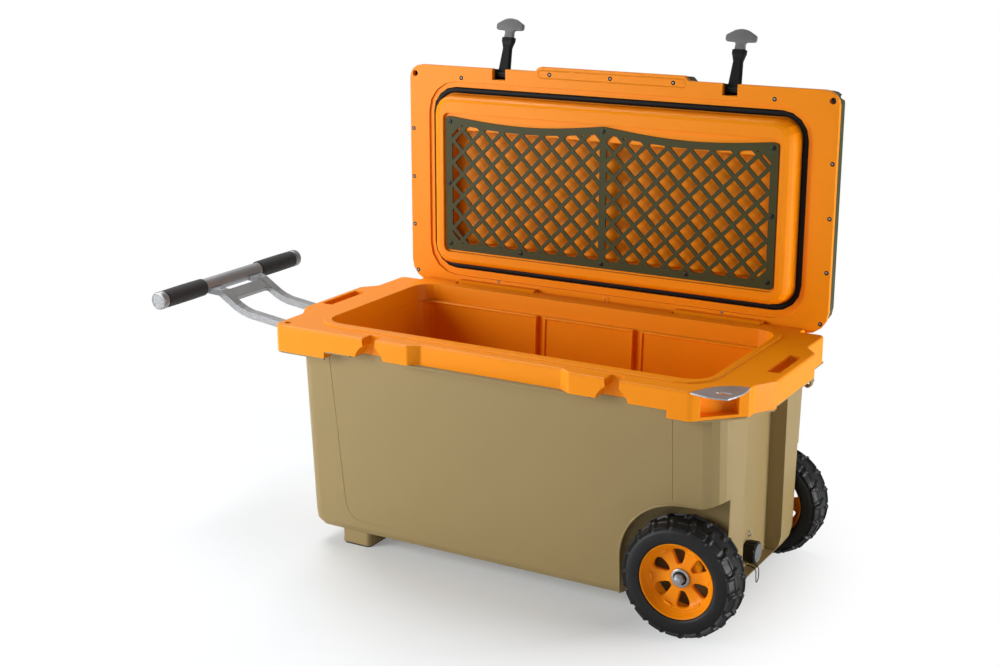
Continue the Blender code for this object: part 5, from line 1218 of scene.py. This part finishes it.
@dataclass
class Drain(Assembly):
    """Drain plug's grip ribs and its tether."""

    tether: tuple = (
        (0.3962, 0.0060, 0.0600), (0.4000, 0.0070, 0.0560), (0.4080, 0.0065, 0.0545), (0.4165, 0.0045, 0.0505),
        (0.4195, 0.0005, 0.0390), (0.4195, -0.0040, 0.0300), (0.4185, -0.0080, 0.0285), (0.4180, -0.0085, 0.0370),
        (0.4165, -0.0080, 0.0505), (0.4080, -0.0070, 0.0550), (0.4000, -0.0065, 0.0560), (0.3962, -0.0060, 0.0600),
    )
    radius: float = 0.0009
    axis: Pair = (0.0, 0.0796)
    rib_count: int = 20
    rib_circle: float = 0.0196
    rib_x: tuple = (0.3998, 0.4006, 0.4120, 0.4130)
    rib_radii: tuple = (0.0003, 0.0008, 0.0008, 0.0003)

    def build(self) -> None:
        """Make the tether, which is a cord, and the ribbed grip."""
        route = self.route()
        cord = self.make("tether_cord", tube_along(route, self.radius, 10), "tub", "black_plastic", 60.0,
                         "drain_tether")
        self.make("plug_ribs", self.ribs(), "drain_cap", "black_plastic")

    def route(self) -> Points:
        """Tether's line: a Catmull-Rom curve through its twelve points, 24 steps to each.

        Returns:
            Rows of x, y, z.
        """
        rows = np.array(self.tether)
        ends = np.vstack([2 * rows[0] - rows[1], rows, 2 * rows[-1] - rows[-2]])
        t = np.linspace(0, 1, 25)[:-1][None, :, None]
        a, b, c, d = (ends[k:len(ends) - 3 + k][:, None, :] for k in range(4))
        line = 0.5 * (2 * b + (c - a) * t + (2 * a - 5 * b + 4 * c - d) * t ** 2
                      + (3 * b - a - 3 * c + d) * t ** 3)
        return np.vstack([line.reshape(-1, 3), rows[-1:]])

    def ribs(self) -> Shape:
        """Low ribs round the plug: round bars along X, set round its axis.

        Returns:
            Points and faces.
        """
        x, routes = np.array(self.rib_x), []
        for angle in turn(self.rib_count):
            y, z = self.rib_circle * math.cos(angle), self.rib_circle * math.sin(angle)
            routes.append(np.stack([x, self.axis[0] + y + 0 * x, self.axis[1] + z + 0 * x], 1))
        return tubes(routes, np.array(self.rib_radii), 7)


# ---- pull handle ----

@dataclass
class Handle(Assembly):
    """Foam grips and turned end caps on the handle's cross tube."""

    radius: float = 0.0175
    bore: float = 0.0151
    start: float = 0.0870
    end: float = 0.2000
    cap_end: float = 0.2163
    face_radius: float = 0.0040
    neck: tuple = ((-0.0020, 0.0003), (-0.0018, 0.0020), (-0.0003, 0.0026), (0.0, 0.0040))
    face: tuple = ((0.0, -0.0030), (-0.0006, -0.0012), (-0.0020, -0.0003), (-0.0036, 0.0), (-0.0044, 0.0),
                   (-0.0048, -0.0004), (-0.0054, -0.0004), (-0.0058, 0.0))

    def pieces(self) -> Iterator[tuple]:
        """Both foam grips and both caps, turned about the tube.

        Yields:
            What make takes.
        """
        for side, place in SIDES:
            grip, cap = (mirrored(lathe(line, 48, (TUBE[0], 0.0, TUBE[1]), 1), side)
                         for line in (self.grip(), self.cap()))
            yield f"foam_{place}", grip, "pull_handle", "grip_foam", 60.0, f"grip_{place}"
            yield f"tube_end_{place}", cap, "pull_handle", "cast_metal", 35.0, f"grip_cap_{place}"

    def grip(self) -> list[Pair]:
        """Foam sleeve: a quarter-round at each end and a slight swell between.

        Returns:
            Radii and distances.
        """
        r, a, b = self.radius, self.start, self.end
        bend = [(r - 0.0022 + 0.0018 * math.sin(t), 0.0018 * (1 - math.cos(t)))
                for t in np.linspace(0, math.pi / 2, 7)]
        middle = [(r - 0.0004 + 0.0004 * math.sin(math.pi * k), a + (b - a) * (0.03 + 0.94 * k))
                  for k in np.linspace(0, 1, 15)]
        first, last = [(out, a + along) for out, along in bend], [(out, b - along) for out, along in bend[::-1]]
        return [(self.bore, a)] + first + middle + last + [(self.bore, b)]

    def cap(self) -> list[Pair]:
        """End cap: a black neck line, a rounded rim and a flat face with a shallow ring.

        Returns:
            Radii and distances.
        """
        ends = ((self.end, self.neck), (self.cap_end, self.face))
        line = [(self.radius + out, end + along) for end, rows in ends for out, along in rows]
        return line + [(self.face_radius, self.cap_end)]


# ---- studio ----

@dataclass
class Studio:
    """Camera, lamps, world and floor."""

    eye: Triple = (1.33343, -2.48649, 1.2035)
    way: Triple = (-0.4817, 0.8344, -0.2679)
    lens: float = 58.255
    sensor: float = 36.0
    white: tuple = (1.0, 1.0, 1.0, 1.0)
    sky: tuple = (0.95, 0.97, 1.0, 1.0)
    sky_light: float = 0.10
    sky_shine: float = 0.40
    floor_half: float = 6.0
    floor_glow: float = 0.20
    floor_scale: Triple = (1.30, 1.35, 1.0)
    floor_shift: Triple = (0.19, 0.05, 0.0)
    floor_fade: Pair = (0.60, 1.15)
    floor_tint: Pair = (0.93, 0.97)
    lamp_target: Triple = (0.1, 0.0, 0.35)
    lamps: tuple = (  # name, place, size and power
        ("key", (-1.8, -2.0, 1.0), 1.7, 70.0), ("side", (2.6, 0.3, 0.35), 1.2, 56.0),
        ("top", (-1.8, 0.9, 3.0), 2.2, 100.0), ("front", (1.1, -3.2, 0.5), 1.6, 9.0),
    )

    def build(self) -> None:
        """Set up the whole studio."""
        self.make_camera()
        self.make_world()
        self.make_lamps()
        self.make_floor()
        bpy.context.scene.view_settings.view_transform = "Standard"

    @staticmethod
    def put(name: str, data: bpy.types.ID, place: Vector, way: Vector) -> bpy.types.Object:
        """Put a camera or a lamp at a place, looking along a way.

        Args:
            name: Name of the object.
            data: Its camera or lamp.
            place: Where it stands.
            way: Where it looks.

        Returns:
            The new object.
        """
        made = bpy.data.objects.new(name, data)
        bpy.context.scene.collection.objects.link(made)
        made.location, made.rotation_mode = place, "QUATERNION"
        made.rotation_quaternion = way.to_track_quat("-Z", "Y")
        return made

    def make_camera(self) -> None:
        """Camera that was solved from the photograph."""
        data = bpy.data.cameras.new("camera")
        data.lens, data.sensor_width = self.lens, self.sensor
        place = Vector(self.eye) + Vector(CENTRE)
        bpy.context.scene.camera = self.put("camera", data, place, Vector(self.way))

    def make_world(self) -> None:
        """Soft grey light all round, and plain white where the camera or a reflection looks."""
        world = bpy.data.worlds.new("studio")
        bpy.context.scene.world = world
        world.use_nodes = True
        g = Graph(world.node_tree)
        world.node_tree.nodes.clear()
        path = g.node("LightPath").outputs
        seen = g.math("MAXIMUM", path["Is Camera Ray"], path["Is Transmission Ray"])
        light, shine, white = (g.node("Background", Color=colour, Strength=strength) for colour, strength in (
            (self.sky, self.sky_light), (self.white, self.sky_shine), (self.white, 1.0)))
        mixed = g.mix_shader(seen, g.mix_shader(path["Is Glossy Ray"], light, shine), white)
        g.node("OutputWorld", Surface=mixed.outputs[0])

    def make_lamps(self) -> None:
        """Large soft area lamps that look at the middle of the cooler."""
        for name, place, size, power in self.lamps:
            data = bpy.data.lights.new(name, "AREA")
            data.shape, data.size, data.energy = "DISK", size, power
            self.put(name, data, Vector(place), Vector(self.lamp_target) - Vector(place))

    def make_floor(self) -> None:
        """Pale floor that keeps the shadow and fades into the white around it."""
        corners = [(x * self.floor_half, y * self.floor_half, 0) for x, y in ((-1, -1), (1, -1), (1, 1), (-1, 1))]
        mesh = bpy.data.meshes.new("floor")
        mesh.from_pydata(corners, [], [(0, 1, 2, 3)])
        mesh.materials.append(self.floor_finish())
        floor = bpy.data.objects.new("floor", mesh)
        bpy.context.scene.collection.objects.link(floor)

    def floor_finish(self) -> Material:
        """Matt and slightly glossy ground under a glow that grows from an oval round the cooler.

        Returns:
            The floor's material.
        """
        material = bpy.data.materials.new("floor")
        material.use_nodes = True
        g = Graph(material.node_tree)
        material.node_tree.nodes.clear()
        where = g.here()
        oval_scaled = g.vector("MULTIPLY", i0=where, i1=self.floor_scale).outputs[0]
        oval_placed = g.vector("ADD", i0=oval_scaled, i1=self.floor_shift).outputs[0]
        fade = g.ramp(g.vector("LENGTH", i0=oval_placed).outputs["Value"], *self.floor_fade)
        cloud = g.ramp(g.noise(where, 3.0, 2.0, 0.5), 0.0, 1.0, (0.95, 0.975))
        red, green = (g.times(cloud, share) for share in self.floor_tint)
        tone = g.node("CombineColor", i0=red, i1=green, i2=cloud)
        matt = g.node("BsdfDiffuse", Color=tone.outputs[0])
        shine = g.node("BsdfGlossy", Color=self.white, Roughness=0.12)
        ground = g.mix_shader(g.node("Fresnel", IOR=1.42).outputs[0], matt, shine)
        camera = g.node("LightPath").outputs["Is Camera Ray"]
        seen = g.times(camera, g.math("MAXIMUM", fade, self.floor_glow))
        glow = g.node("Emission", Color=self.white, Strength=1.0)
        g.node("OutputMaterial", Surface=g.mix_shader(seen, ground, glow).outputs[0])
        return material


def main() -> None:
    """Dress the cooler and set the studio."""
    logging.basicConfig(level=logging.INFO, format="%(name)s: %(message)s")
    finishes = Finishes()
    finishes.dress_nodes()
    for part in (Drain, Wheels, LidTrim, Latches, TubTrim, Handle):
        part(finishes.by_slot).build()
    Studio().build()


if __name__ == "__main__":
    main()
